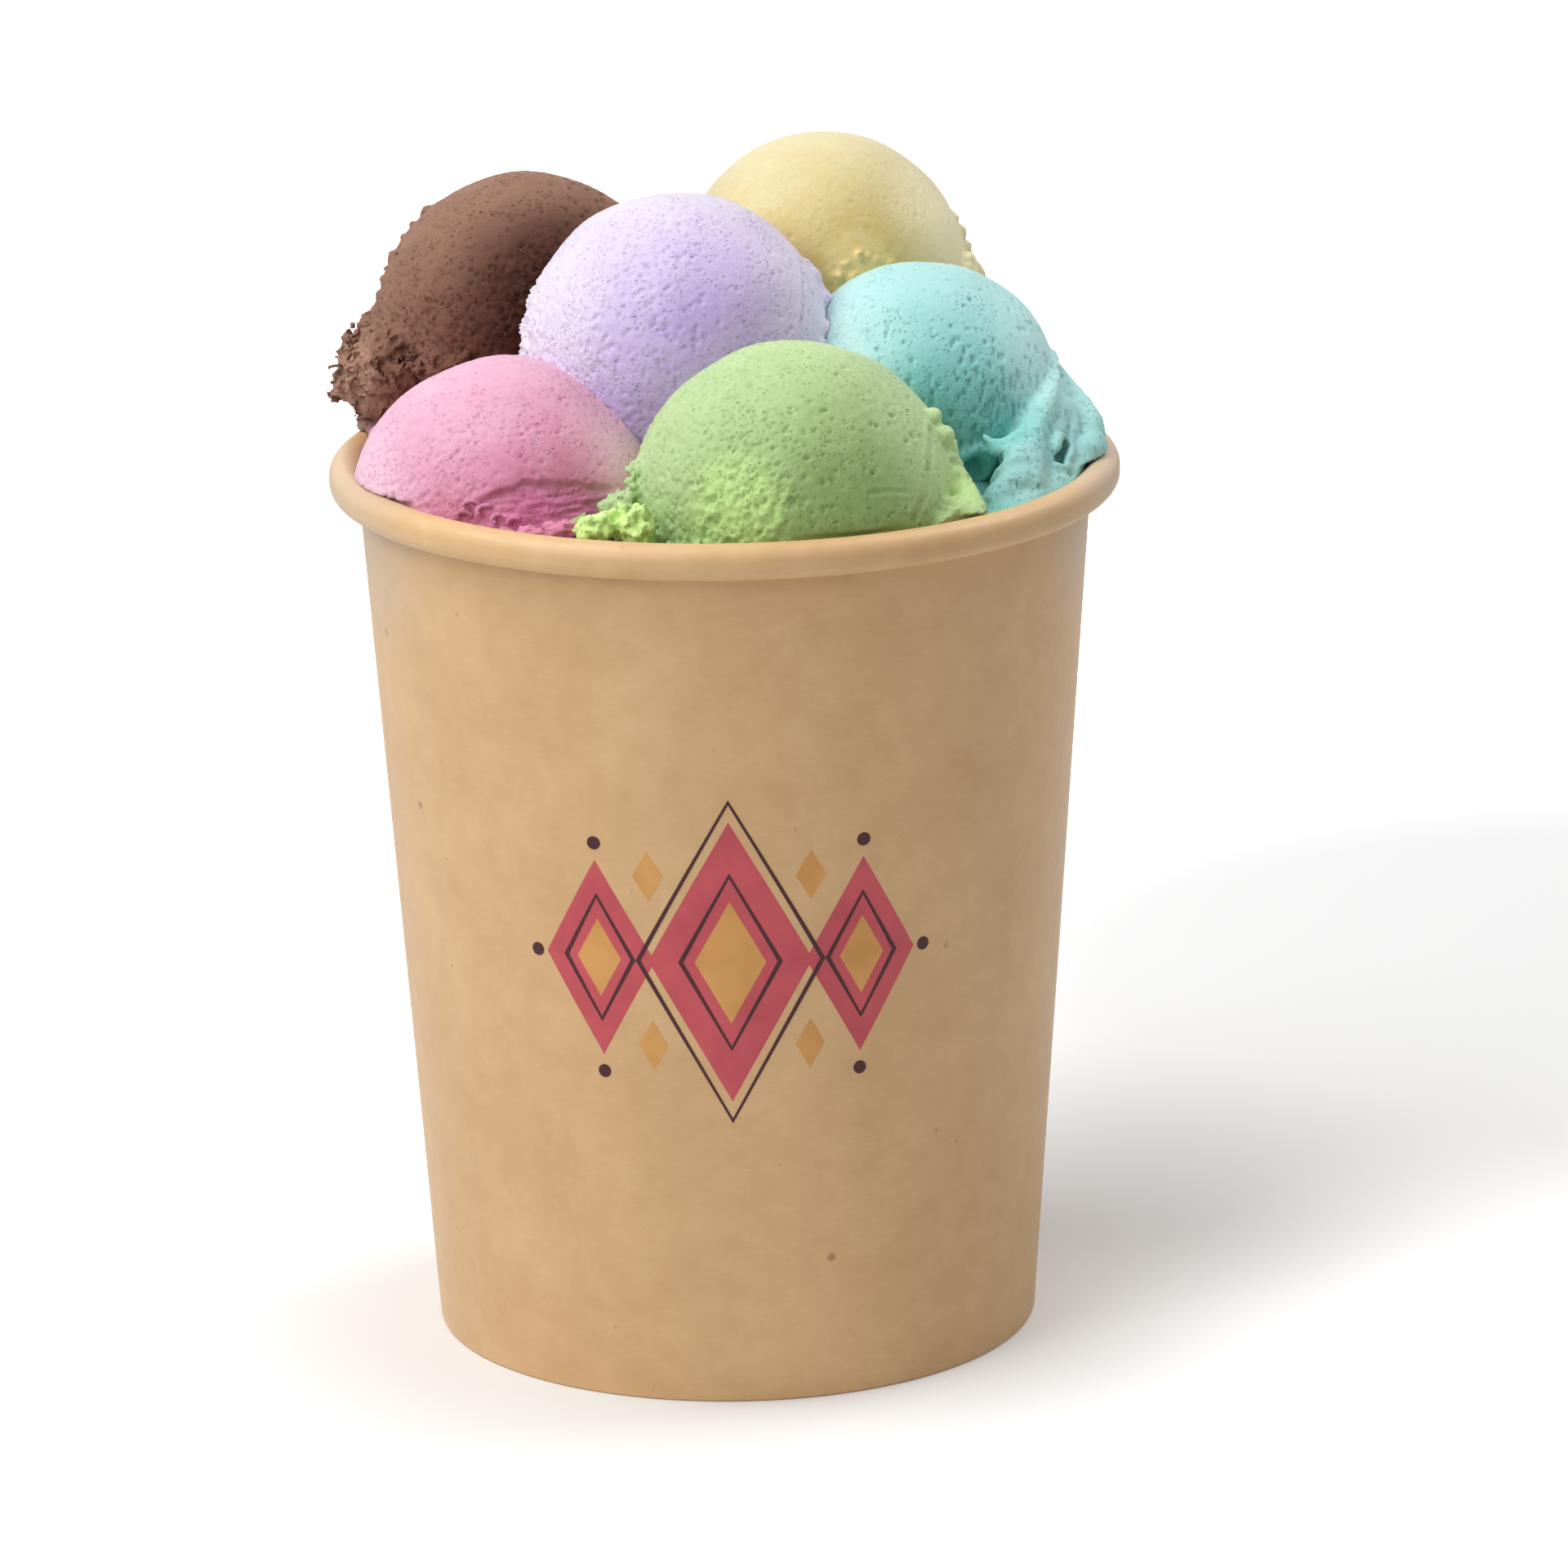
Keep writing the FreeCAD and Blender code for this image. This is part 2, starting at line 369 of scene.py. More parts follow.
def cup_wall():
    bm = bmesh.new()
    crown = rim_width / 2
    tuck = (rim_width - board - curl_gap) / 2
    back = wall_top_radius + curl_gap
    corners = [
        (in_section(wall_top_radius, rim_underside), 0),
        (inside_face(0, 0), fold_bend),
        (inside_face(fold_depth, 0), fold_bend),
        (inside_face(fold_depth, fold_height), 0),
        (inside_face(skirt_depth, fold_height), 0),
        (inside_face(skirt_depth, board), 0),
        (inside_face(board, board), 0),
        (in_section(mouth_radius, rim_underside), 0),
        (in_section(mouth_radius, cup_height), crown),
        (in_section(rim_radius, cup_height), crown),
        (in_section(rim_radius, rim_underside), tuck),
        (in_section(back, rim_underside), tuck),
        (in_section(back, rim_underside + curl_tip), 0),
        (in_section(back + board, rim_underside + curl_tip), 0),
        (in_section(back + board, rim_underside + board), tuck - board),
        (in_section(rim_radius - board, rim_underside + board), tuck - board),
        (in_section(rim_radius - board, cup_height - board), crown - board),
        (in_section(wall_top_radius, cup_height - board), crown - board),
    ]
    spots = [bm.verts.new(place) for place, bend in corners]
    bm.faces.new(spots)
    # A hair less than the whole bend, so that two bends that meet keep a short straight
    for bend in sorted({bend for place, bend in corners if bend}):
        rounded = [spot for spot, (place, wanted) in zip(spots, corners) if wanted == bend]
        bmesh.ops.bevel(bm, geom=rounded, offset=bend * 0.999, offset_type="OFFSET",
                        segments=bend_steps, profile=0.5, affect="VERTICES",
                        clamp_overlap=False, material=-1)
    bmesh.ops.delete(bm, geom=bm.faces[:], context="FACES_ONLY")
    # The long straight of the cone is divided, so that the mesh is even for the finish
    long_edges = [edge for edge in bm.edges if edge.calc_length() > rim_height * 4]
    bmesh.ops.subdivide_edges(bm, edges=long_edges, cuts=wall_rows - 1)
    bmesh.ops.spin(bm, geom=bm.verts[:] + bm.edges[:], cent=(0, 0, 0), axis=(0, 0, 1),
                   angle=2 * math.pi, steps=turn_steps, use_merge=True, use_duplicate=False)
    bmesh.ops.remove_doubles(bm, verts=bm.verts, dist=0.005)
    return from_bmesh("cup_wall_board", bm, board_finish, sharp_degrees=50)


wall_piece = cup_wall()
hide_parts("cup_wall")

# %% [markdown]
# ## Things that lie on the wall
#
# The outer layer of the side seam and the printed ink both lie on a cone. Each is modelled
# flat, as if the wall were unrolled: x runs round the tub from the front, y stands off the
# wall towards the viewer, z is the height. `wrap` then rolls it on. The azimuth is the arc
# length over the wall's radius at mid height of the piece, so nothing is stretched there.

# %% Rolling flat work onto the cone
def wrap(bm, middle_height, azimuth=-90.0):
    """Rolls flat work onto the wall's outside, centred on an azimuth."""
    radius_there = wall_radius(middle_height)
    for vert in bm.verts:
        across, stand_off, height = vert.co.x, -vert.co.y, vert.co.z
        turn = azimuth + math.degrees(across / radius_there)
        vert.co = heading(turn) * (wall_radius(height) + stand_off) + Vector((0, 0, height))


def strips(bm, reach, step, cuts):
    """Cuts flat work into upright strips, so that it can bend."""
    for cut in range(1, cuts):
        place = (-reach + cut * step, 0, 0)
        geom = bm.verts[:] + bm.edges[:] + bm.faces[:]
        bmesh.ops.bisect_plane(bm, geom=geom, dist=1e-5, plane_co=place, plane_no=(1, 0, 0))


# %% [markdown]
# The seam is at the back. The outer layer of board ends there in a raw edge on one side, and
# on the other it comes down over the edge of the layer beneath in a short ramp.

# %% The side seam
seam_lap = 9.0
seam_ramp = 3.0
seam_foot = 0.4
seam_top_gap = 0.2
seam_strips = 12
sunk = 0.1                  # how far the seam's back lies inside the wall's face


def side_seam():
    width = seam_lap + seam_ramp
    height = rim_underside - seam_top_gap - seam_foot
    bm = bmesh.new()
    bmesh.ops.create_cube(bm, size=1.0)
    bmesh.ops.scale(bm, vec=(width, board, height), verts=bm.verts)
    bmesh.ops.translate(bm, vec=(0, -board / 2, seam_foot + height / 2), verts=bm.verts)
    strips(bm, width / 2, width / seam_strips, seam_strips)
    for vert in bm.verts:
        outer = vert.co.y < -board / 2
        past_lap = vert.co.x - (width / 2 - seam_ramp)
        if outer and past_lap > 0:
            ease = past_lap / seam_ramp
            vert.co.y = -board + (board - sunk / 2) * ease * ease * (3 - 2 * ease)
        if not outer:
            vert.co.y = sunk
    wrap(bm, height / 2, azimuth=90.0 + math.degrees(seam_ramp / 2 / foot_radius))
    return from_bmesh("side_seam", bm, board_finish, sharp_degrees=40)


side_seam()

# %% [markdown]
# ## The print
#
# The tub carries a printed panel about 60 mm wide in a muted coral, a dark maroon line and an
# ochre. Here it is a plain lozenge pattern of the common kind: a middle lozenge,
# a smaller one on each side, small ochre ones between, and beads beyond the outer points. Ink
# soaks in and lies flush, so each colour is a skin only a few hundredths of a millimetre
# proud, cut from a flat face and rolled on with the same `wrap`.

# %% The print's finish
def ink(name, shade, deep):
    finish = Finish(name)
    wear = finish.clouds(0.5, detail=3.0, roughness=0.7)
    cloud = finish.clouds(7, detail=2.0)
    paint = finish.mix(cloud.between(0.3, 0.7), deep, shade)
    paint = finish.mix(wear.between(0.62, 0.8) * 0.25, paint, colour(214, 170, 122))
    finish.set(Base_Color=paint, Roughness=0.5, Specular_IOR_Level=0.4, Coat_Weight=0.18,
               Coat_Roughness=0.3)
    finish.set(Normal=finish.bump(wear, 0.008))
    return finish.material


coral_ink = ink("coral_ink", colour(206, 84, 92), colour(192, 74, 84))
maroon_ink = ink("maroon_ink", colour(72, 18, 28), colour(62, 14, 23))
ochre_ink = ink("ochre_ink", colour(220, 162, 90), colour(206, 146, 76))

# %% Flat shapes for the print
print_height = 69.0         # middle of the panel above the table
ink_step = 1.2              # longest edge, so that the ink follows the cone
ink_coral = 0.03
ink_ochre = 0.05
ink_maroon = 0.07


def lozenge(bm, x, z, half_width, half_height):
    """A flat four-cornered face that stands on its point."""
    spots = [(x - half_width, z), (x, z - half_height), (x + half_width, z), (x, z + half_height)]
    return bm.faces.new([bm.verts.new((across, 0, up)) for across, up in spots])


def lozenge_ring(bm, x, z, half_width, half_height, line):
    """The outline of a lozenge, as wide as a printed line."""
    outer = lozenge(bm, x, z, half_width, half_height)
    outer.normal_update()
    bmesh.ops.inset_individual(bm, faces=[outer], thickness=line, depth=0.0)
    bmesh.ops.delete(bm, geom=[outer], context="FACES")


def bead(bm, x, z, radius):
    made = bmesh.ops.create_circle(bm, cap_ends=True, segments=28, radius=radius)
    upright = Matrix.Rotation(math.pi / 2, 3, "X")
    bmesh.ops.rotate(bm, verts=made["verts"], cent=(0, 0, 0), matrix=upright)
    bmesh.ops.translate(bm, verts=made["verts"], vec=(x, 0, z))


def ink_piece(name, bm, stand_off, material):
    """Cuts flat faces fine, gives them a thickness and rolls them onto the wall."""
    reach = max(abs(vert.co.x) for vert in bm.verts)
    strips(bm, reach, ink_step, int(2 * reach / ink_step))
    bmesh.ops.remove_doubles(bm, verts=bm.verts, dist=1e-4)
    bottom = bmesh.ops.extrude_face_region(bm, geom=bm.faces[:])
    raised = [item for item in bottom["geom"] if isinstance(item, bmesh.types.BMVert)]
    bmesh.ops.translate(bm, verts=raised, vec=(0, -2 * stand_off, 0))
    bmesh.ops.translate(bm, verts=bm.verts, vec=(0, stand_off, print_height))
    wrap(bm, print_height)
    return from_bmesh(name, bm, material, sharp_degrees=40)


# %% [markdown]
# Each lozenge is named by its half width and half height. The three colours are three pieces,
# and the darker ones stand a hair prouder, because they are printed over the lighter ones.

# %% The print
lozenge_sizes = dict(
    middle=(12.0, 21.5), middle_line=(7.6, 13.7), middle_heart=(5.2, 9.4),
    side=(8.5, 15.0), side_line=(5.6, 9.9), side_heart=(3.4, 6.0), small=(2.2, 3.8))
side_x = 19.5
small_z = 13.0
small_share = 0.6           # how far out the small ones stand, of the way to the side ones
line_gap = 1.9              # from the middle lozenge to the line round it
line_stretch = 1.8
line_width = 0.75
bead_radius = 1.0
bead_gap = 2.6
bead_share = 1.52


def coral_fields():
    bm = bmesh.new()
    lozenge(bm, 0, 0, *lozenge_sizes["middle"])
    for x in (-side_x, side_x):
        lozenge(bm, x, 0, *lozenge_sizes["side"])
    return ink_piece("print_coral", bm, ink_coral, coral_ink)


def ochre_fields():
    bm = bmesh.new()
    lozenge(bm, 0, 0, *lozenge_sizes["middle_heart"])
    for x in (-side_x, side_x):
        lozenge(bm, x, 0, *lozenge_sizes["side_heart"])
        for z in (-small_z, small_z):
            lozenge(bm, x * small_share, z, *lozenge_sizes["small"])
    return ink_piece("print_ochre", bm, ink_ochre, ochre_ink)


def maroon_lines():
    bm = bmesh.new()
    half_width, half_height = lozenge_sizes["middle"]
    lozenge_ring(bm, 0, 0, half_width + line_gap, half_height + line_gap * line_stretch, line_width)
    lozenge_ring(bm, 0, 0, *lozenge_sizes["middle_line"], line_width)
    bead_z = lozenge_sizes["side"][1] + bead_gap
    for x in (-side_x, side_x):
        lozenge_ring(bm, x, 0, *lozenge_sizes["side_line"], line_width)
        bead(bm, x, bead_z, bead_radius)
        bead(bm, x, -bead_z, bead_radius)
        bead(bm, x * bead_share, 0, bead_radius)
    return ink_piece("print_maroon", bm, ink_maroon, maroon_ink)


coral_fields()
ochre_fields()
maroon_lines()

# %% [markdown]
# ## Ice cream
#
# A scoop is a rolled ball with a skirt of crumbs where the scooper's edge let go. Close up
# its skin is full of small pits where air bubbles tore open. Three kinds of detail meet here,
# and each is made where it is cheapest: the skirt from many small balls fused by a voxel
# remesh, the larger pits by pressing the fine mesh in, and the finest grain by bump.
#
# The scoops' places repeat the solids' own numbers, counted in radii of the scooper: each
# ball's azimuth, its inset from the inside of the mouth, its height over the rim and its
# size, and its skirts of lumps, which run from one azimuth and elevation to another. The
# scoops in front come first, because a front ball dents those behind it.

# %% Where the scoops are
scooper = 22.5
lump_change = 0.12
SCOOPS = dict(
    pistachio=dict(azimuth=-70.3, inset=1.016, above_rim=-0.058, ball=1.062, skirts=[
        dict(start=(150, -6), end=(196, 2), stand=0.044, lump=0.231, count=5),
        dict(start=(205, -4), end=(236, -4), stand=0.071, lump=0.187, count=4),
        dict(start=(-6, 34), end=(-14, -4), stand=0.009, lump=0.196, count=6)]),
    strawberry=dict(azimuth=-159.2, inset=0.873, above_rim=-0.28, ball=1.036, skirts=[]),
    mint=dict(azimuth=9.6, inset=1.06, above_rim=0.271, ball=0.911, skirts=[
        dict(start=(-40, -16), end=(62, -16), stand=0.08, lump=0.24, count=8),
        dict(start=(-20, -4), end=(40, -4), stand=0.0, lump=0.204, count=5)]),
    lavender=dict(azimuth=156.2, inset=2.053, above_rim=0.667, ball=1.016, skirts=[
        dict(start=(-8, 30), end=(2, 8), stand=-0.036, lump=0.16, count=5)]),
    chocolate=dict(azimuth=136.4, inset=0.582, above_rim=0.591, ball=1.009, skirts=[
        dict(start=(95, -20), end=(214, -20), stand=0.133, lump=0.249, count=10),
        dict(start=(118, -4), end=(206, -2), stand=0.018, lump=0.196, count=7)]),
    lemon=dict(azimuth=65.4, inset=0.771, above_rim=0.831, ball=0.967, skirts=[
        dict(start=(-30, -14), end=(150, -18), stand=0.009, lump=0.209, count=11),
        dict(start=(-12, 2), end=(10, -4), stand=-0.027, lump=0.16, count=3)]),
)
for scoop in SCOOPS.values():
    reach = mouth_radius - scoop["inset"] * scooper
    lift = Vector((0, 0, cup_height + scoop["above_rim"] * scooper))
    scoop["middle"] = heading(scoop["azimuth"]) * reach + lift
    scoop["radius"] = scoop["ball"] * scooper
print("balls:", {name: round(2 * scoop["radius"], 1) for name, scoop in SCOOPS.items()}, "mm across")


def skirt_lumps(name):
    """A scoop's lumps as the solids have them: places from the ball's middle, and sizes."""
    found = []
    for run in SCOOPS[name]["skirts"]:
        reach = SCOOPS[name]["radius"] + run["stand"] * scooper
        for step in range(run["count"]):
            share = step / (run["count"] - 1)
            azimuth = run["start"][0] + share * (run["end"][0] - run["start"][0])
            elevation = run["start"][1] + share * (run["end"][1] - run["start"][1])
            size = run["lump"] * scooper * (1 + lump_change * math.sin(2.4 * step))
            found.append((heading(azimuth, elevation) * reach, size))
    return found


def seen(name, across, up, depth=None):
    """A place from a ball's middle as the camera sees it, in ball radii; else on its face."""
    if depth is None:
        depth = math.sqrt(max(0.0, 1 - across * across - up * up))
    return (to_right * across + to_top * up + to_camera * depth) * SCOOPS[name]["radius"]


def in_cup(name, *place):
    """The same place counted from the cup's foot, for a finish."""
    return SCOOPS[name]["middle"] + seen(name, *place)


def on_ball(name, keys):
    """Turns ((across, up, depth), size) keys into places from the ball's middle, and sizes."""
    return [(seen(name, *place), size) for place, size in keys]


# %% [markdown]
# One finish serves all six flavours. Light and shade are painted into its colour: the ball is
# painted paler towards the upper left and deeper low on the face, a painted edge light makes its
# right edge paler, and white specks on its left are partly ice crystals and partly a painted
# highlight. Some scoops add patches of painted light or shade, and some of its torn places show a
# fresher colour. Those are distances from places on the ball, which need no painted map. The
# holes are cells in two sizes: their colour is darkened a little as a painted shade, and they
# sink as bump.

# %% The ice cream's finish
def ice_cream(name, light, deep, pit, pit_shade_share=0.22, open_mm=0.10, soft=0.12, gloss=1.0,
              painted_edge_light=0.6, frost_and_highlight=None, patches=()):
    """A soft finish with light and shade painted in: paler towards the upper left, deeper low on the
    face.

    The patches, and the white specks that are partly ice crystals and partly a painted highlight,
    are places with an inner and an outer reach in millimetres. The finest holes are darkened by a
    painted shade, by the given share, and are `open_mm` deep. The painted edge light is how much
    paler the ball is painted towards its right edge, and `soft` how far light sinks in.
    """
    finish = Finish(name + "_ice")
    scoop = SCOOPS[name]
    clouds = finish.clouds(8, detail=3.0, roughness=0.6)
    grain = finish.clouds(1.1, detail=4.0, roughness=0.7)
    fine = finish.clouds(0.4, detail=2.0, roughness=0.6)
    where = finish.clouds(5, detail=2.0)
    small = finish.cells(0.8).between(0.36, 0.18) * where.between(0.36, 0.60)
    large = finish.cells(2.3).between(0.20, 0.10) * grain.between(0.40, 0.55)
    holes = finish.node("ShaderNodeMath", {"operation": "MAXIMUM"}, {0: small, 1: large})
    # Painted light and shade: the colour runs from the deep shade low on the face to the light one
    # towards the upper left.
    painted_light_side = (to_top * 0.75 - to_right * 0.45 - to_camera * 0.45).normalized()
    centre = scoop["middle"].dot(painted_light_side)
    height = finish.along(painted_light_side)
    painted_light_slope = height.between((centre - scoop["radius"] * 0.75) * MM, (centre + scoop["radius"] * 0.8) * MM)
    tone = painted_light_slope * 0.7 + clouds.between(0.3, 0.7) * 0.15 + grain.between(0.3, 0.7) * 0.15
    paint = finish.mix(tone, deep, light)
    # Painted edge light: the ball's right edge is painted towards a paler copy of its light colour.
    pale = tuple(min(1.0, 0.04 + 1.2 * channel) for channel in light)
    edge = finish.near(in_cup(name, 0.88, 0.30), 3, scoop["radius"] * 0.75)
    paint = finish.mix(edge * painted_edge_light, paint, pale)
    for place, inner, outer, shade, share in patches:
        near = finish.near(place, inner, outer) * grain.between(0.25, 0.6, 0.6, 1.0)
        paint = finish.mix(near * share, paint, shade)
    # White specks on the ball's left: partly ice crystals and partly a painted highlight.
    if frost_and_highlight is not None:
        place, inner, outer, share = frost_and_highlight
        rime_and_highlight = finish.near(place, inner, outer) * fine.between(0.36, 0.62) * share
        paint = finish.mix(rime_and_highlight, paint, colour(246, 243, 246))
    # Painted shade: the holes are darkened towards a deep colour.
    paint = finish.mix(holes * pit_shade_share, paint, pit)
    finish.set(Base_Color=paint, Roughness=grain.between(0.2, 0.8, 0.66, 0.50),
               Specular_IOR_Level=0.35 * gloss, Sheen_Weight=0.18 * gloss, Sheen_Roughness=0.5,
               Subsurface_Weight=soft, Subsurface_Scale=0.9 * MM)
    finish.set(Subsurface_Radius=(1.0, 0.75, 0.55))
    relief = finish.bump(grain, 0.10)
    relief = finish.bump(1 - holes, open_mm, relief)
    finish.set(Normal=finish.bump(fine, 0.03, relief))
    return finish.material


# %% [markdown]
# ## Balls, crumbs and strands
#
# Every rough form starts as overlapping balls. `crumbs` sticks small ones on larger lumps,
# `strand` sets them close together along a smooth curve for a pulled band, and `fused` turns
# the heap into one closed skin. Every random draw comes from one seeded source per scoop, so
# each run of the script gives the same crumbs.

# %% Round meshes and curves
def unit_ball(divisions):
    """An icosphere of radius 1 as two arrays: its points and its triangles."""
    bm = bmesh.new()
    bmesh.ops.create_icosphere(bm, subdivisions=divisions, radius=1.0)
    points = np.array([vert.co for vert in bm.verts])
    faces = np.array([[vert.index for vert in face.verts] for face in bm.faces])
    bm.free()
    return points, faces


unit_balls = {divisions: unit_ball(divisions) for divisions in (1, 2, 3, 6)}
print("points on a ball:", {divisions: len(ball[0]) for divisions, ball in unit_balls.items()})


def any_way(draw):
    """A direction drawn at random, even over the whole sphere."""
    return Vector((draw.gauss(0, 1), draw.gauss(0, 1), draw.gauss(0, 1))).normalized()


def through(keys, steps):
    """Places and sizes along a smooth curve through (place, size) keys."""
    rows = [np.array([*place, size]) for place, size in keys]
    rows = [2 * rows[0] - rows[1]] + rows + [2 * rows[-1] - rows[-2]]
    for before, first, second, after in zip(rows, rows[1:], rows[2:], rows[3:]):
        for step in range(steps):
            t = step / steps
            bent = (2 * first + (second - before) * t
                    + (2 * before - 5 * first + 4 * second - after) * t * t
                    + (3 * first - before - 3 * second + after) * t * t * t) / 2
            yield Vector(bent[:3]), bent[3]


# %% [markdown]
# A heap keeps its balls as arrays, because a scoop has hundreds of them. One bmesh call for
# each would take minutes, and copies of four round meshes, moved as arrays, take a second. The
# buried bottom of a scoop's ball is pressed flat, so that no fine mesh is spent on it.

# %% Heaps
buried = 9.0                # depth under the rim from which no scoop is seen


class Heap:
    """Many overlapping balls, kept as arrays and made into one mesh at the end."""

    def __init__(self):
        self.points = []
        self.faces = []
        self.size = 0

    def ball(self, place, radius, divisions=2, squash=(1, 1, 1), turn=None):
        """One round lump, squashed along its own axes and turned."""
        points, faces = unit_balls[divisions]
        shaped = points * (np.array(squash) * radius)
        if turn is not None:
            shaped = shaped @ np.array(turn).T
        self.points.append(shaped + np.array(place))
        self.faces.append(faces + self.size)
        self.size += len(points)

    def scoop(self, name):
        """A scoop's main ball, cut off flat where the fill hides it."""
        self.ball((0, 0, 0), SCOOPS[name]["radius"], 6)
        hidden = cup_height - buried - SCOOPS[name]["middle"].z
        self.points[-1][:, 2] = np.maximum(self.points[-1][:, 2], hidden)

    def crumb(self, draw, place, size):
        """A small broken bit: a squashed ball, turned at random."""
        squash = (1, draw.uniform(0.55, 1), draw.uniform(0.45, 0.9))
        turn = Matrix.Rotation(draw.uniform(0, math.pi), 3, any_way(draw))
        self.ball(place, size, 1 if size < 0.8 else 2, squash, turn)

    def crumbs(self, draw, radius, cores, sizes, count):
        """Sticks crumbs on lumps, where they show outside the ball."""
        weights = [size * size for place, size in cores]
        for step in range(count):
            place, size = draw.choices(cores, weights)[0]
            small = sizes[0] + (sizes[1] - sizes[0]) * draw.random() ** 2
            spot = place + any_way(draw) * (size + small * draw.uniform(-0.5, 0.2))
            if spot.length > radius:
                self.crumb(draw, spot, small)

    def lumps(self, cores, divisions=3):
        """Round lumps from (place, size) keys."""
        for place, size in cores:
            self.ball(place, size, divisions)

    def strand(self, keys, steps=14):
        """A pulled band of ice cream through (place, size) keys."""
        for place, size in through(keys, steps):
            self.ball(place, size, 3 if size > 1.2 else 2)

    def mesh(self, name):
        made = bpy.data.meshes.new(name)
        made.from_pydata(np.concatenate(self.points).tolist(), [],
                         np.concatenate(self.faces).tolist())
        return made


# %% [markdown]
# A voxel remesh wraps a heap in one closed skin of even squares, and drops all that is
# inside. A few rounds of smoothing then melt the squares' steps, more for a smeared scoop and
# fewer for a crumbly one. The modifiers are applied at once, since the skin is worked on.

# %% Fusing a heap
voxel = 0.37


def fused(name, heap, smoothing=2):
    """Fuses overlapping balls into one closed skin, and gives back its mesh."""
    holder = linked(name, heap.mesh(name))
    remesh = holder.modifiers.new("fuse", "REMESH")
    remesh.mode = "VOXEL"
    remesh.voxel_size = voxel
    ease_out = holder.modifiers.new("ease", "SMOOTH")
    ease_out.iterations = smoothing
    graph = bpy.context.evaluated_depsgraph_get()
    skin = bpy.data.meshes.new_from_object(holder.evaluated_get(graph))
    bpy.data.objects.remove(holder)
    return skin


# %% [markdown]
# ## Pressing the skin
#
# From here a skin is a cloud of points: read out once as an array, moved along its normals,
# and written back. An amount is worked out for every point from noise and from where the
# point is seen on the ball, so that rough and smooth regions lie where they should.

# %% Reading and moving the skin
def read_points(mesh):
    points = np.empty(len(mesh.vertices) * 3)
    mesh.vertices.foreach_get("co", points)
    return points.reshape(-1, 3)


def write_points(mesh, points):
    mesh.vertices.foreach_set("co", points.ravel())
    mesh.update()


def swell(mesh, amount):
    """Moves the skin out along its normals, or in by negative amounts."""
    normals = np.empty(len(mesh.vertices) * 3)
    mesh.vertex_normals.foreach_get("vector", normals)
    write_points(mesh, read_points(mesh) + normals.reshape(-1, 3) * amount[:, None])


def as_seen(name, points):
    """How far to the right, up and towards the camera each point is, in ball radii."""
    axes = np.array([to_right, to_top, to_camera])
    return (points @ axes.T / SCOOPS[name]["radius"]).T


def ease(value, low, high):
    """Goes smoothly from 0 to 1 while a value goes from low to high."""
    share = np.clip((value - low) / (high - low), 0, 1)
    return share * share * (3 - 2 * share)


def soft_noise(points, size, seed, stretch=(1, 1, 1)):
    """Smooth noise from about -0.7 to 0.7, with lumps about so many millimetres across."""
    shift = Vector((seed * 7.3, seed * 3.1, seed * 5.7))
    scaled = points / (size * np.array(stretch))
    return np.array([noise.noise(Vector(point) + shift) for point in scaled])


def clods(points, size, seed):
    """Rounded clods: near 0.5 in the middle of each cell and below -0.2 between them."""
    shift = Vector((seed * 2.9, seed * 8.3, seed * 4.1))
    return np.array([0.5 - noise.voronoi(Vector(point) / size + shift)[0][0] for point in points])


def away_from(points, path):
    """Each point's distance from a run of places."""
    best = np.full(len(points), np.inf)
    for first, second in zip(path, path[1:]):
        first, run = np.array(first), np.array(second - first)
        share = np.clip((points - first) @ run / (run @ run), 0, 1)
        best = np.minimum(best, np.linalg.norm(points - first - share[:, None] * run, axis=1))
    return best


def groove(points, path, width, depth):
    """A crease along a run of places, with a slight shoulder on each side."""
    far = away_from(points, path) / width
    return depth * (0.35 * np.exp(-((far - 1.3) / 0.45) ** 2) - np.clip(1 - far * far, 0, 1) ** 2)


# %% [markdown]
# Pits are pressed in one by one. A search tree gives the points near each pit's middle; they
# sink in a steep dimple, longer than wide, with a faint raised edge round it.

# %% Pits
def pits(mesh, draw, weights, count, size, depth, stretch=(1.0, 1.9), upright=0.0):
    """Presses in pits, whose half widths and depth are in millimetres."""
    points = read_points(mesh)
    tree = KDTree(len(points))
    for index, point in enumerate(points):
        tree.insert(point, index)
    tree.balance()
    move = np.zeros(len(points))
    for index in draw.choices(range(len(points)), weights, k=count):
        spot = Vector(points[index])
        wide = size[0] + (size[1] - size[0]) * draw.random() ** 2
        length = wide * draw.uniform(*stretch)
        along = (any_way(draw) * (1 - upright) + to_top * upright * 1.6).normalized()
        for place, near, far in tree.find_range(spot, length * 1.35):
            offset = place - spot
            run = offset.dot(along)
            side = (offset - along * run).length / wide
            inside = 1 - (run / length) ** 2 - side * side
            if inside > 0:
                sink = depth * min(1.0, wide / size[1] + 0.35) * inside ** 0.6
                move[near] = min(move[near], -sink)
            elif inside > -0.8 and move[near] >= 0:
                move[near] = max(move[near], depth * 0.14 * (1 + inside / 0.8))
    swell(mesh, move)


# %% [markdown]
# ## Keeping pieces apart
#
# A scoop gives way to the board and to the balls in front of it. `give_way` moves points
# that are inside a front ball out to its surface, a hair apart. `keep_in_mouth` draws points
# in to the wall's inside, and over the mouth to the round of the rolled rim. What is higher
# than the roll may lie over it.

# %% Clearances
contact_gap = 0.12
mouth_gap = 0.15
box_gap = 0.02


def give_way(points, middle, radius):
    """Pushes points out of a ball."""
    offset = points - np.array(middle)
    far = np.linalg.norm(offset, axis=1)
    limit = radius - contact_gap
    inside = far < limit
    points[inside] = np.array(middle) + offset[inside] * (limit / far[inside])[:, None]


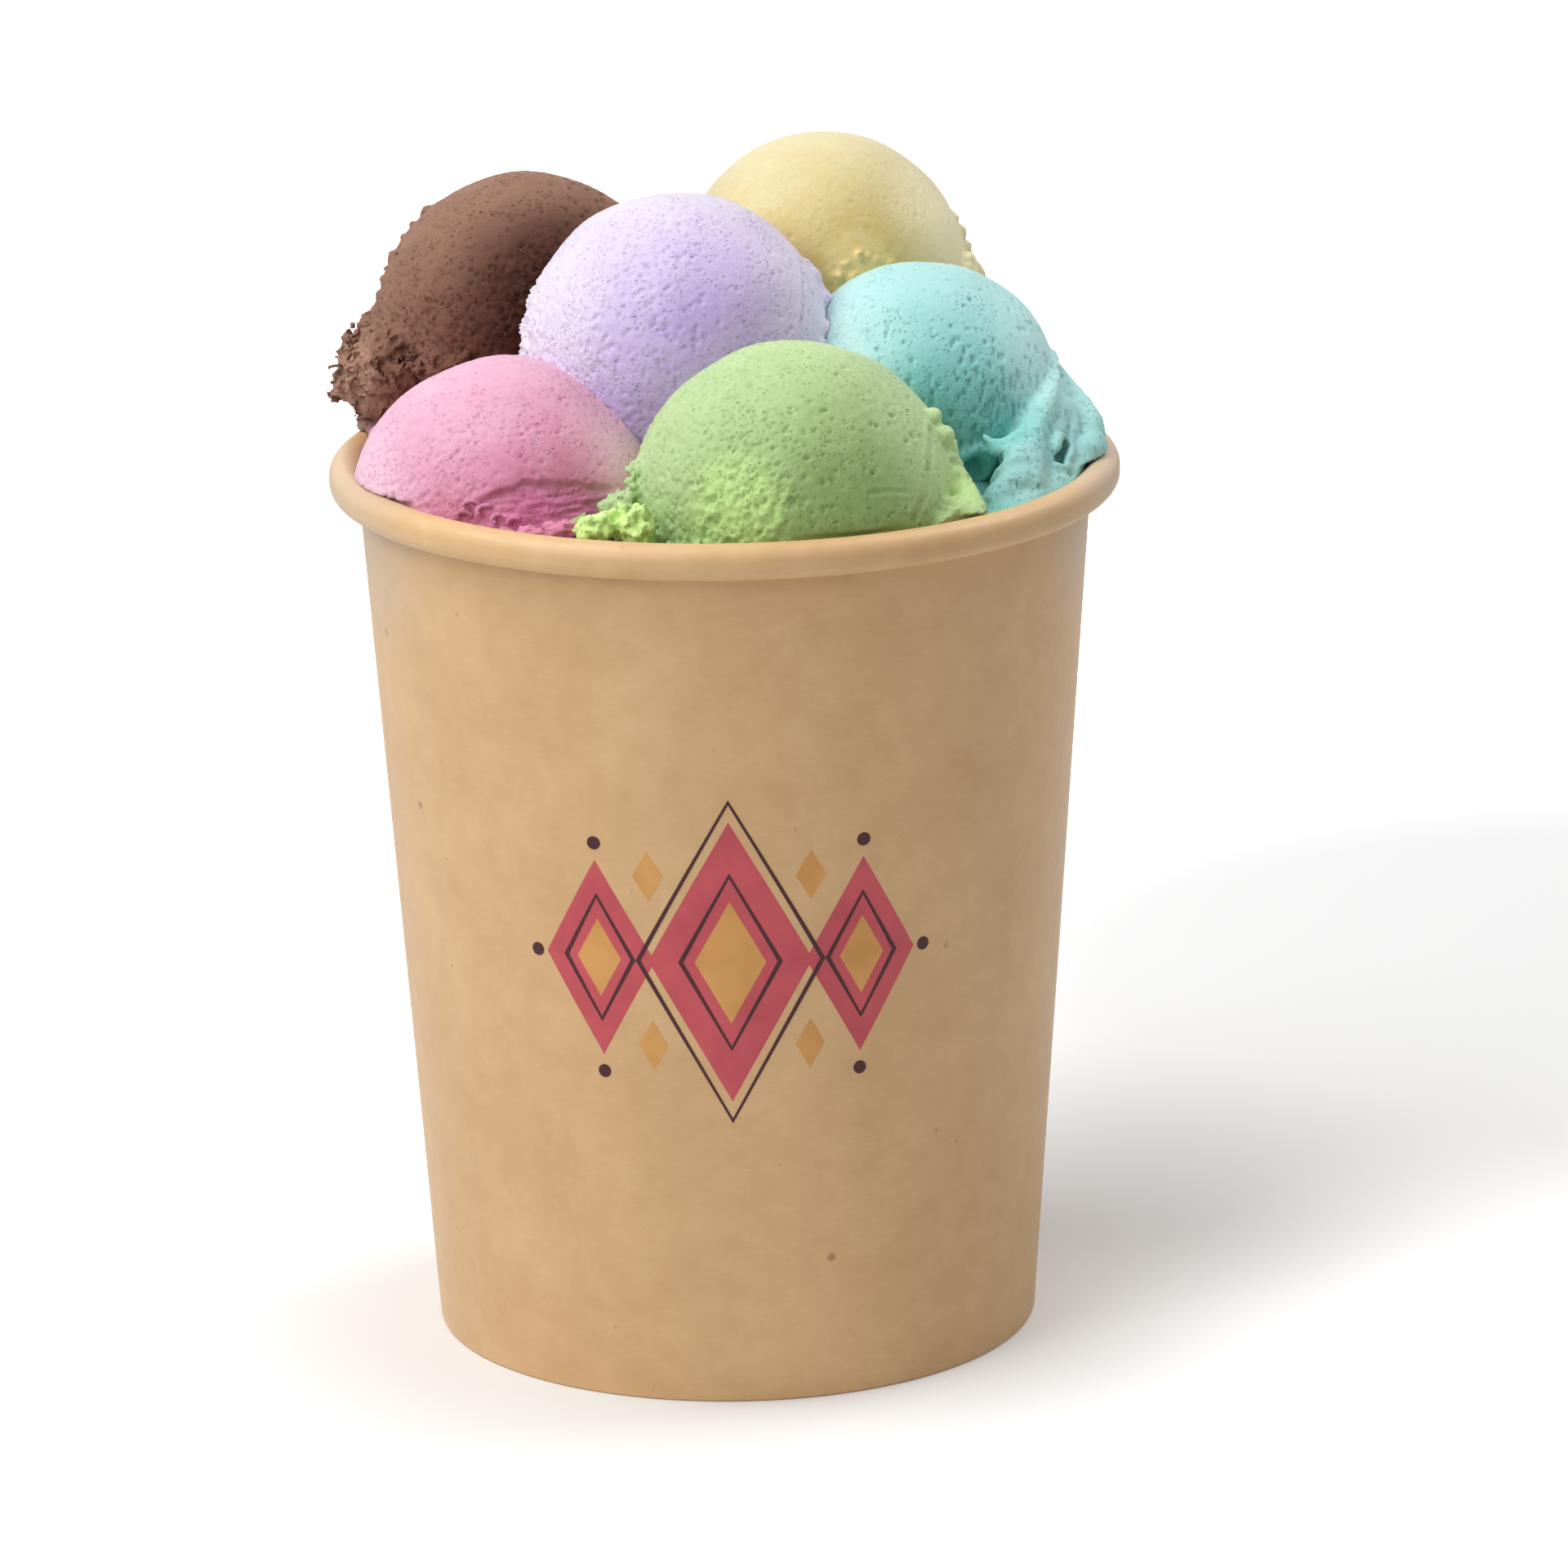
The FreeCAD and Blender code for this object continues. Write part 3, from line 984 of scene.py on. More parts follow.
def keep_in_mouth(points):
    """Draws points in from the wall and from the rolled rim."""
    height = points[:, 2]
    across = np.hypot(points[:, 0], points[:, 1])
    crown = rim_width / 2
    room = foot_radius + height * math.tan(slant) - board / math.cos(slant) - mouth_gap
    over = np.clip(height - (cup_height - crown), 0, crown + mouth_gap)
    round_of_roll = mouth_radius + crown - np.sqrt((crown + mouth_gap) ** 2 - over ** 2)
    room = np.minimum(room, round_of_roll)
    room[height > cup_height + mouth_gap] = np.inf
    share = np.minimum(1, room / np.maximum(across, 1e-6))
    points[:, 0] *= share
    points[:, 1] *= share


def keep_in_box(points):
    """Keeps points inside the frame's box."""
    low, high = np.array(cad_box[0]) / MM, np.array(cad_box[1]) / MM
    np.clip(points, low + box_gap, high - box_gap, out=points)


def finish_scoop(name, mesh, material):
    """Puts a scoop's skin in its place, among the pieces that it touches."""
    points = read_points(mesh) + np.array(SCOOPS[name]["middle"])
    for other, front in SCOOPS.items():
        if other == name:
            break
        give_way(points, front["middle"], front["radius"])
    keep_in_mouth(points)
    keep_in_box(points)
    write_points(mesh, points * MM)
    piece = piece_of(name + "_scoop", mesh, material)
    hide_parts("scoop_" + name)


# %% [markdown]
# ## The six scoops
#
# Each scoop has its own cell, because each broke from the scooper in its own way. The first
# is chocolate: coarse pits, a beaded left edge and a big crumbly skirt over the rim.

# %% Chocolate
def begin(name, seed):
    """What each scoop starts from: a seeded draw and a heap with its ball."""
    heap = Heap()
    heap.scoop(name)
    return random.Random(seed), heap


def uneven(points, seed, fine):
    """The slight unevenness of every ball, wide and fine."""
    return soft_noise(points, 9, seed) * 0.35 + soft_noise(points, 0.9, seed + 1) * fine


def chocolate():
    name = "chocolate"
    radius = SCOOPS[name]["radius"]
    draw, heap = begin(name, seed=11)
    cores = [(place, size - 1.3) for place, size in skirt_lumps(name)]
    clump = [((-1.12, -0.14, 0.15), 1.9), ((-0.99, -0.12, 0.30), 1.7), ((-0.86, -0.15, 0.52), 1.5),
             ((-1.20, -0.28, 0.12), 1.8), ((-1.06, -0.28, 0.36), 2.0), ((-0.92, -0.29, 0.54), 1.8),
             ((-1.24, -0.44, 0.10), 1.6), ((-1.12, -0.45, 0.32), 2.0), ((-0.97, -0.44, 0.50), 1.8),
             ((-0.82, -0.38, 0.66), 1.9), ((-0.68, -0.32, 0.76), 1.7), ((-1.04, -0.57, 0.36), 1.6),
             ((-0.55, -0.38, 0.86), 1.8), ((-0.40, -0.33, 0.92), 1.5), ((-0.88, -0.56, 0.50), 1.7)]
    clump = on_ball(name, clump)
    heap.lumps(cores + clump)
    heap.crumbs(draw, radius - 0.4, cores, (0.5, 1.4), 500)
    heap.crumbs(draw, radius - 0.2, clump, (0.6, 1.4), 260)
    heap.crumbs(draw, radius - 0.2, [(place, size + 0.9) for place, size in clump], (0.38, 0.7), 900)
    for turn in np.linspace(-0.2, 0.95, 34):
        limb = seen(name, -math.cos(turn), math.sin(turn), draw.uniform(-0.1, 0.3)).normalized()
        heap.crumb(draw, limb * (radius + draw.uniform(-0.4, 0.3)), draw.uniform(0.5, 1.1))
    mesh = fused(name, heap, smoothing=0)

    points = read_points(mesh)
    across, up = as_seen(name, points)[:2]
    far = np.linalg.norm(points, axis=1) - radius
    low = ease(-up, 0.05, 0.40) * ease(0.6 - across, 0.0, 0.8) * (1 - ease(far, 0.2, 1.0))
    amount = uneven(points, 1, 0.12)
    amount += (clods(points, 1.6, 3) * 0.4 + clods(points, 0.8, 4) * 0.4) * low
    torn = ease(far, 0.4, 1.6) * ease(-across, 0.3, 0.7)
    amount += (clods(points, 2.8, 19) - 0.42) * 1.2 * torn
    swell(mesh, amount)
    weights = (0.25 + ease(-up, -0.5, 0.1) * 1.4) * (1 - 0.9 * ease(far, 0.2, 1.0))
    pits(mesh, draw, weights, 4200, (0.24, 0.52), 0.45)
    # The first patch is a painted shade on the ball's right, towards the lavender; the second is a paler
    # colour on the low left crumbs.
    patches = [(in_cup(name, 0.35, 0.0), 8, 24, colour(42, 16, 10), 0.95),
               (in_cup(name, -1.12, -0.35, 0.3), 3, 9, colour(178, 140, 122), 0.85)]
    finish = ice_cream(name, colour(154, 120, 102), colour(104, 60, 46), colour(50, 24, 18),
                       pit_shade_share=0.4, soft=0.05, gloss=0.12, painted_edge_light=0.1, patches=patches)
    finish_scoop(name, mesh, finish)


chocolate()

# %% [markdown]
# Lavender has fine pits, more of them towards the left where its white specks are, partly ice
# crystals and partly a painted highlight, a beaded left edge, and on its right a thin stepped lip
# behind an upright crease.

# %% Lavender
def torn_lip(heap, draw, name, keys, sunk, stand, sizes, count):
    """Round bits along a ball's edge, each with its own crumbs."""
    radius = SCOOPS[name]["radius"]
    for (across, up), size in keys:
        place = seen(name, across, up).normalized() * (radius - sunk)
        heap.ball(place, size, 3)
        heap.crumbs(draw, radius + stand, [(place, size)], sizes, count)


def lavender():
    name = "lavender"
    draw, heap = begin(name, seed=22)
    lip = [((0.86, 0.545), 1.3), ((0.90, 0.47), 1.7), ((0.95, 0.41), 1.4), ((0.985, 0.32), 1.9),
           ((0.99, 0.21), 2.0), ((0.97, 0.09), 1.8), ((0.93, -0.02), 1.5)]
    torn_lip(heap, draw, name, lip, sunk=0.5, stand=0.3, sizes=(0.3, 0.6), count=10)
    mesh = fused(name, heap)

    points = read_points(mesh)
    across, up, depth = as_seen(name, points)
    left = ease(-across, 0.80, 0.97) * ease(depth, -0.9, -0.3)
    amount = uneven(points, 3, 0.07)
    amount += np.maximum(clods(points, 1.3, 5), -0.1) * left * 1.8
    crease = [seen(name, *place) for place in ((0.80, 0.53), (0.812, 0.36), (0.815, 0.22), (0.80, 0.10))]
    amount += groove(points, crease, 0.55, 0.28)
    swell(mesh, amount)
    weights = 0.12 + ease(-across, -0.5, 0.7) + 0.5 * ease(-up, 0.0, 0.6)
    pits(mesh, draw, weights, 2800, (0.24, 0.48), 0.30)
    finish = ice_cream(name, colour(228, 221, 230), colour(190, 162, 228), colour(146, 122, 176),
                       frost_and_highlight=(in_cup(name, -0.95, -0.1), 8, 26, 0.6))
    finish_scoop(name, mesh, finish)


lavender()

# %% [markdown]
# Lemon is the smoothest. A few pale crumbs stick low on its face, and its right side ends in
# a narrow torn lip.

# %% Lemon
def lemon():
    name = "lemon"
    radius = SCOOPS[name]["radius"]
    draw, heap = begin(name, seed=33)
    cores = [(place, size - 0.5) for place, size in skirt_lumps(name)]
    heap.lumps(cores)
    heap.crumbs(draw, radius, cores, (0.5, 1.5), 420)
    lip = [((0.91, 0.40), 1.1), ((0.95, 0.31), 1.4), ((0.985, 0.20), 1.5), ((1.0, 0.09), 1.9),
           ((1.03, 0.0), 2.2)]
    torn_lip(heap, draw, name, lip, sunk=0.45, stand=0.4, sizes=(0.3, 0.5), count=4)
    for across, up, size in ((0.272, 0.10, 1.5), (0.09, -0.054, 1.1), (0.15, 0.02, 0.7),
                             (0.36, 0.06, 0.8), (0.2, -0.08, 0.9), (0.47, 0.04, 0.6)):
        place = seen(name, across, up).normalized() * (radius - 0.2)
        heap.crumbs(draw, radius - 0.3, [(place, size * 0.7)], (0.4, 0.7), 9)
    mesh = fused(name, heap, smoothing=1)

    points = read_points(mesh)
    far = np.linalg.norm(points, axis=1) - radius
    torn = ease(far, 0.2, 0.8)
    across, up = as_seen(name, points)[:2]
    amount = soft_noise(points, 10, 5) * 0.3 + soft_noise(points, 0.9, 6) * 0.05
    amount += clods(points, 1.3, 7) * torn * 0.5
    swell(mesh, amount)
    weights = 0.35 + ease(-up, -0.3, 0.3)
    pits(mesh, draw, weights, 900, (0.24, 0.42), 0.16)
    finish = ice_cream(name, colour(228, 218, 176), colour(202, 173, 86), colour(184, 148, 80),
                       pit_shade_share=0.08, open_mm=0.03, painted_edge_light=0.95,
                       patches=[(in_cup(name, 0.24, 0.03), 4.0, 6.5, colour(232, 210, 148), 0.7)])
    finish_scoop(name, mesh, finish)


lemon()

# %% [markdown]
# Mint has long upright scratches and a smeared drape. The drape is pulled taffy: one band
# comes down from the right edge and widens to the rim with a hooked tip on its left, another
# hangs outside it, and between and under them are dark hollows.

# %% Mint
def mint_band(name, keys):
    """Keys of (across, up, depth, size) in ball radii, with the size in millimetres."""
    return [(seen(name, across, up, depth), size) for across, up, depth, size in keys]


def mint():
    name = "mint"
    radius = SCOOPS[name]["radius"]
    draw, heap = begin(name, seed=44)
    heap.lumps([(place, size - 0.6) for place, size in skirt_lumps(name)])
    bands = [
        # The main band, from the right edge down to the rim
        [(0.95, 0.32, 0.10, 0.8), (0.94, 0.14, 0.34, 1.3), (0.87, -0.06, 0.56, 1.9),
         (0.78, -0.26, 0.74, 2.6), (0.72, -0.46, 0.90, 3.4), (0.70, -0.70, 1.05, 4.2)],
        # Its hooked tip, and the lower lip under the hollow
        [(0.78, -0.30, 0.84, 2.0), (0.66, -0.34, 0.92, 1.6), (0.55, -0.37, 0.97, 1.1),
         (0.46, -0.33, 0.98, 0.7), (0.42, -0.29, 0.97, 0.4)],
        [(0.72, -0.60, 1.05, 2.8), (0.60, -0.68, 1.20, 2.4), (0.50, -0.80, 1.32, 2.4),
         (0.48, -1.0, 1.45, 2.8)],
        # The outer band, down the right edge
        [(0.97, 0.24, 0.02, 1.0), (1.04, 0.08, 0.10, 1.8), (1.13, -0.08, 0.16, 2.3),
         (1.19, -0.24, 0.26, 2.5), (1.15, -0.44, 0.46, 2.8), (1.02, -0.62, 0.74, 3.2)],
        # Thin ribbons between the two
        [(0.99, 0.12, 0.20, 0.7), (1.0, -0.06, 0.42, 1.0), (0.95, -0.24, 0.62, 1.1),
         (0.90, -0.40, 0.80, 1.3)],
        [(1.06, -0.02, 0.22, 0.8), (1.08, -0.18, 0.42, 1.0), (1.04, -0.34, 0.58, 1.1),
         (1.0, -0.5, 0.76, 1.4)],
        # The foot that lies along the wall to the green scoop
        [(0.9, -0.72, 0.86, 4.2), (0.72, -0.84, 1.1, 4.2), (0.58, -0.96, 1.36, 3.8),
         (0.46, -1.04, 1.58, 3.4)],
    ]
    for keys in bands:
        heap.strand(mint_band(name, keys), steps=20)
    torn = mint_band(name, [(0.93, -0.34, 0.66, 1.0), (1.24, -0.26, 0.28, 1.2), (1.22, -0.38, 0.4, 1.2),
                            (1.02, 0.02, 0.2, 0.9)])
    heap.crumbs(draw, radius, torn, (0.3, 0.7), 60)
    mesh = fused(name, heap, smoothing=8)

    points = read_points(mesh)
    across, up = as_seen(name, points)[:2]
    far = np.linalg.norm(points, axis=1) - radius
    drape = ease(far, 0.2, 1.0) * ease(across, 0.3, 0.6)
    amount = uneven(points, 7, 0.05)
    amount += soft_noise(points, 1.4, 9, stretch=(0.7, 0.7, 3.5)) * drape * 0.13
    hollows = [((0.36, -0.52, 0.80), (0.62, -0.53, 1.0), 2.0, 2.6),
               ((0.97, -0.38, 0.72), (0.94, -0.50, 0.84), 1.3, 2.6),
               ((1.20, -0.36, 0.42), (1.15, -0.42, 0.52), 1.3, 2.4),
               ((1.0, -0.14, 0.44), (0.96, -0.26, 0.62), 0.6, 1.2)]
    for start, end, width, sink in hollows:
        amount += groove(points, [seen(name, *start), seen(name, *end)], width, sink)
    swell(mesh, amount)
    weights = (0.12 + ease(across, -0.2, 0.5) * ease(-up, -0.5, 0.0)) * (1 - 0.9 * drape)
    pits(mesh, draw, weights, 900, (0.24, 0.46), 0.42, stretch=(1.6, 3.8), upright=0.8)
    pits(mesh, draw, 0.2 + ease(-up, -0.4, 0.4), 400, (0.24, 0.4), 0.25)
    # Painted light and shade: a painted shade low in the middle of the face, painted light in the hollow
    # under the hooked tip and on the right edge, and the drape painted paler towards its right and its
    # foot.
    pale = colour(158, 210, 206)
    patches = [(in_cup(name, 0.1, -0.2), 5, 15, colour(104, 182, 176), 0.75),
               (in_cup(name, 0.38, -0.34), 3, 8, colour(140, 218, 212), 0.8),
               (in_cup(name, 0.98, 0.0, 0.4), 4, 9, colour(192, 240, 236), 0.9),
               (in_cup(name, 1.1, -0.4, 0.6), 5, 11, pale, 0.9),
               (in_cup(name, 0.75, -0.6, 1.15), 4, 8, pale, 0.9)]
    finish = ice_cream(name, colour(180, 224, 222), colour(136, 208, 202), colour(62, 136, 134),
                       pit_shade_share=0.2, painted_edge_light=0.95, frost_and_highlight=(in_cup(name, -0.9, 0.1), 6, 22, 0.5),
                       patches=patches)
    finish_scoop(name, mesh, finish)


mint()

# %% [markdown]
# Strawberry is pressed against the wall. Low on its face a scrape has taken a shallow shell
# away under an arched edge, and left thin curls at the scrape's near end.

# %% Strawberry
def strawberry():
    name = "strawberry"
    radius = SCOOPS[name]["radius"]
    draw, heap = begin(name, seed=55)
    foot = [((0.46, -0.15, 1.44), 2.0), ((0.38, -0.14, 1.45), 2.0),
            ((0.30, -0.15, 1.42), 2.2), ((0.16, -0.17, 1.34), 2.2), ((0.02, -0.19, 1.26), 2.3),
            ((-0.12, -0.21, 1.2), 2.6), ((-0.30, -0.24, 1.06), 3.2), ((-0.50, -0.23, 0.9), 3.4),
            ((-0.68, -0.20, 0.72), 3.4), ((-0.84, -0.13, 0.52), 3.2)]
    foot = on_ball(name, foot)
    heap.lumps(foot)
    heap.crumbs(draw, radius, foot, (0.4, 1.1), 320)
    mesh = fused(name, heap)

    points = read_points(mesh)
    across, up, depth = as_seen(name, points)
    left = ease(-across, 0.0, 0.7) * ease(-up, -0.35, 0.2)
    arch = 0.195 - 0.9 * np.clip(0.22 - across, 0, 1) ** 2 - 0.25 * np.clip(across - 0.3, 0, 1) ** 2
    arch = arch + soft_noise(points, 1.2, 13) * 0.02
    scrape = ease(arch - up, 0.0, 0.035) * ease(0.72 - across, 0.0, 0.12) * ease(depth, 0.2, 0.5)
    amount = uneven(points, 9, 0.06)
    amount += clods(points, 1.2, 11) * left * 0.28
    streaks = soft_noise(points, 0.7, 12, stretch=(4.0, 4.0, 0.7))
    amount += scrape * (streaks * 0.5 + clods(points, 0.9, 14) * 0.2 - 0.75)
    swell(mesh, amount)
    weights = 0.15 + ease(-across, -0.2, 0.6) + 0.3 * ease(-up, -0.2, 0.4)
    pits(mesh, draw, weights * (1 - 0.7 * scrape), 2600, (0.24, 0.46), 0.28)

    heap = Heap()
    curls = [((-0.20, 0.02), 1.3, 40), ((-0.10, -0.01), 1.5, 80), ((-0.02, -0.06), 1.2, 100),
             ((-0.25, -0.04), 1.1, 20), ((0.07, -0.08), 1.0, 60)]
    for (across, up), size, start in curls:
        middle = seen(name, across, up) * 0.985
        keys = []
        for step in range(5):
            turn = math.radians(start + step * 32)
            offset = to_right * math.cos(turn) + to_top * math.sin(turn) * 0.6
            keys.append((middle + offset * size + to_camera * 0.1 * step, 0.32 + 0.05 * math.sin(step)))
        heap.strand(keys, steps=6)
    bm = bmesh.new()
    bm.from_mesh(mesh)
    bm.from_mesh(heap.mesh("curls"))
    bm.to_mesh(mesh)
    bm.free()
    scraped = [(in_cup(name, 0.2, -0.02), 3.2, 5.0, colour(228, 130, 180), 0.75),
               (in_cup(name, 0.42, -0.05), 3.2, 5.6, colour(228, 130, 180), 0.75),
               (in_cup(name, -0.1, -0.02), 2.0, 3.5, colour(240, 160, 196), 0.6)]
    finish = ice_cream(name, colour(238, 190, 212), colour(202, 108, 144), colour(178, 88, 130),
                       painted_edge_light=0.95, frost_and_highlight=(in_cup(name, -0.95, -0.1), 6, 20, 0.5), patches=scraped)
    finish_scoop(name, mesh, finish)


strawberry()

# %% [markdown]
# Pistachio lies right at the front: crumbly on its left where it meets its neighbour, torn
# open in a rough patch low on its face, and with a ragged lip behind a crease on its right,
# whose foot is a clump of crumbs.

# %% Pistachio
def pistachio():
    name = "pistachio"
    radius = SCOOPS[name]["radius"]
    draw, heap = begin(name, seed=66)
    cores = [(place, size - (2.6 if place.x < 0 else 3.0)) for place, size in skirt_lumps(name)]
    heap.lumps(cores)
    heap.crumbs(draw, radius, cores[:9], (0.4, 1.3), 480)
    torn = [((-0.94, 0.28, 0.22), 0.7), ((-0.97, 0.20, 0.26), 0.9), ((-0.99, 0.11, 0.32), 1.0),
            ((-1.01, 0.02, 0.40), 1.1), ((-1.02, -0.07, 0.52), 1.4), ((-1.08, -0.13, 0.66), 1.8),
            ((-1.17, -0.15, 0.74), 1.8), ((-1.26, -0.17, 0.8), 1.5), ((-0.95, -0.16, 0.7), 2.6)]
    torn = on_ball(name, torn)
    heap.lumps(torn, 2)
    heap.crumbs(draw, radius, torn, (0.4, 1.1), 420)
    lip = [((0.79, 0.56, 0.05), 0.6), ((0.845, 0.47, 0.08), 1.0), ((0.92, 0.37, 0.10), 1.2),
           ((0.945, 0.27, 0.14), 1.2), ((0.985, 0.145, 0.2), 1.6), ((1.02, 0.05, 0.30), 2.0),
           ((1.06, -0.04, 0.38), 2.2), ((1.07, -0.12, 0.46), 2.4)]
    lip = on_ball(name, lip)
    heap.strand(lip)
    heap.crumbs(draw, radius + 0.3, lip, (0.3, 0.5), 60)
    base = [((0.92, -0.04, 0.42), 2.0), ((0.98, -0.09, 0.46), 2.4), ((0.90, -0.14, 0.52), 2.2)]
    base = on_ball(name, base)
    heap.lumps(base)
    heap.crumbs(draw, radius, base, (0.4, 1.0), 110)
    mesh = fused(name, heap, smoothing=1)

    points = read_points(mesh)
    across, up, depth = as_seen(name, points)
    far = np.linalg.norm(points, axis=1) - radius
    patch = ease(0.42 - np.hypot((across + 0.36) * 0.95, (up + 0.03) * 1.5), -0.04, 0.12)
    patch = patch * ease(soft_noise(points, 3.5, 15), -0.45, 0.1) * ease(depth, 0.2, 0.5)
    left = ease(-across, 0.72, 0.98) * ease(depth, -0.9, -0.3)
    rough = np.maximum(patch, ease(far, 0.3, 1.0) * (1 - 0.75 * ease(across, 0.5, 0.8)))
    amount = uneven(points, 11, 0.08)
    amount += rough * (clods(points, 1.7, 16) * 1.0 + clods(points, 0.8, 17) * 0.6)
    amount += np.maximum(clods(points, 1.3, 18), -0.1) * left * 0.7
    crease = [seen(name, *place) for place in ((0.81, 0.44), (0.80, 0.25), (0.777, 0.06), (0.70, -0.11))]
    amount += groove(points, crease, 0.9, 0.55) * (0.7 + soft_noise(points, 2.5, 20))
    fold = [seen(name, 0.44, 0.045), seen(name, 0.56, 0.06), seen(name, 0.68, 0.055)]
    amount += groove(points, fold, 0.5, 0.16)
    swell(mesh, amount)
    weights = 0.15 + ease(-across, -0.4, 0.4) + 0.3 * ease(-up, 0.0, 0.4)
    pits(mesh, draw, weights, 2800, (0.24, 0.5), 0.34)
    # Painted light: the crumbly skirt on the left is painted paler green where it lies in shade.
    painted_skirt_light = colour(220, 255, 154)
    pale = colour(198, 232, 146)
    patches = [(in_cup(name, -1.15, -0.15, 0.8), 6, 9.5, painted_skirt_light, 0.9),
               (in_cup(name, -0.36, -0.03), 4, 10, pale, 0.7),
               (in_cup(name, 1.08, 0.05, 0.3), 3, 7, pale, 0.5)]
    finish = ice_cream(name, colour(192, 219, 158), colour(130, 160, 88), colour(100, 134, 62),
                       patches=patches)
    finish_scoop(name, mesh, finish)


pistachio()

# %% [markdown]
# ## The bed
#
# The fill under the scoops is seen only in the gaps between them. The frame's own solid has
# the right shape there, so it stays. Each gap shows a flavour next to it, so the bed takes the
# colour of the scoops near by, the later in the list over the earlier, and is plain cream
# where none is near.

# %% Finishes for the frame's own pieces
def fill_finish():
    finish = Finish("fill")
    grain = finish.clouds(1.6, detail=4.0, roughness=0.7)
    paint = finish.mix(grain.between(0.3, 0.7), colour(226, 212, 186), colour(240, 230, 208))
    flavours = dict(lavender=colour(196, 178, 216), chocolate=colour(112, 72, 60),
                    lemon=colour(226, 204, 136), strawberry=colour(216, 134, 170),
                    pistachio=colour(158, 190, 112), mint=colour(110, 178, 172))
    for name, shade in flavours.items():
        scoop = SCOOPS[name]
        near = finish.near(scoop["middle"], scoop["radius"] + 7, scoop["radius"] + 12)
        paint = finish.mix(near, paint, shade)
    finish.set(Base_Color=paint, Roughness=0.6, Subsurface_Weight=0.1, Subsurface_Scale=0.9 * MM)
    finish.set(Normal=finish.bump(grain, 0.5))
    return finish.material


fill = fill_finish()
for node, material in (("ice_cream_bed", fill), ("cup_base", board_finish)):
    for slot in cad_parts[node].material_slots:
        slot.material = material
    print(node, "keeps the frame's own mesh")

# %% [markdown]
# On the left a little plain ice cream shows at the wall, under the chocolate's crumbs. The bed
# has no form there, so it is a small heap of its own, fused and kept in like the scoops.

# %% Cream at the wall
def cream_sliver():
    draw = random.Random(77)
    heap = Heap()
    cores = [(Vector((-50.5, 14, cup_height - 3)), 4.5), (Vector((-48.5, 8, cup_height - 4)), 4.0),
             (Vector((-52.5, 17, cup_height + 0.5)), 2.6), (Vector((-51, 11, cup_height)), 2.2)]
    heap.lumps(cores)
    heap.crumbs(draw, 0, cores, (0.4, 1.2), 120)
    mesh = fused("cream_sliver", heap)
    points = read_points(mesh)
    give_way(points, SCOOPS["strawberry"]["middle"], SCOOPS["strawberry"]["radius"])
    keep_in_mouth(points)
    write_points(mesh, points * MM)
    return piece_of("cream_sliver", mesh, fill)


cream_sliver()

# %% [markdown]
# ## Stage, light and camera
#
# The cup stands in a white studio. The floor is a real surface that keeps the shadow, and
# only the camera sees extra white added to it: least round the foot and where the long pale
# shadow runs off to the right and back, and all of it farther off.

# %% Floor
def floor_finish():
    finish = Finish("white_floor")
    seen = finish.node("ShaderNodeLightPath", {}, {}, "Is Camera Ray")
    foot = finish.near(Vector((-9, -8, 0)), 23, 159)
    shadow = finish.near(Vector((147, 162, 0)), 81, 201)
    glow = (1 - foot * 0.99 - shadow * 0.83) * seen
    light = finish.node("ShaderNodeEmission", {}, {"Color": (1, 1, 1, 1), "Strength": glow})
    finish.set(Base_Color=(0.8, 0.8, 0.8, 1), Roughness=0.9, Specular_IOR_Level=0.0)
    both = finish.tree.nodes.new("ShaderNodeAddShader")
    finish.tree.links.new(finish.shader.outputs[0], both.inputs[0])
    finish.tree.links.new(light.socket, both.inputs[1])
    finish.tree.links.new(both.outputs[0], finish.tree.nodes["Material Output"].inputs["Surface"])
    return finish.material


def studio_floor(half_size=4.0):
    bm = bmesh.new()
    bmesh.ops.create_grid(bm, x_segments=1, y_segments=1, size=half_size)
    mesh = bpy.data.meshes.new("floor")
    bm.to_mesh(mesh)
    bm.free()
    mesh.materials.append(floor_finish())
    linked("floor", mesh)


studio_floor()


# %% [markdown]
# The world is white where the camera or a reflection looks past the cup, and a plain weak
# fill for all other light. That keeps the background white at no cost to the shading.

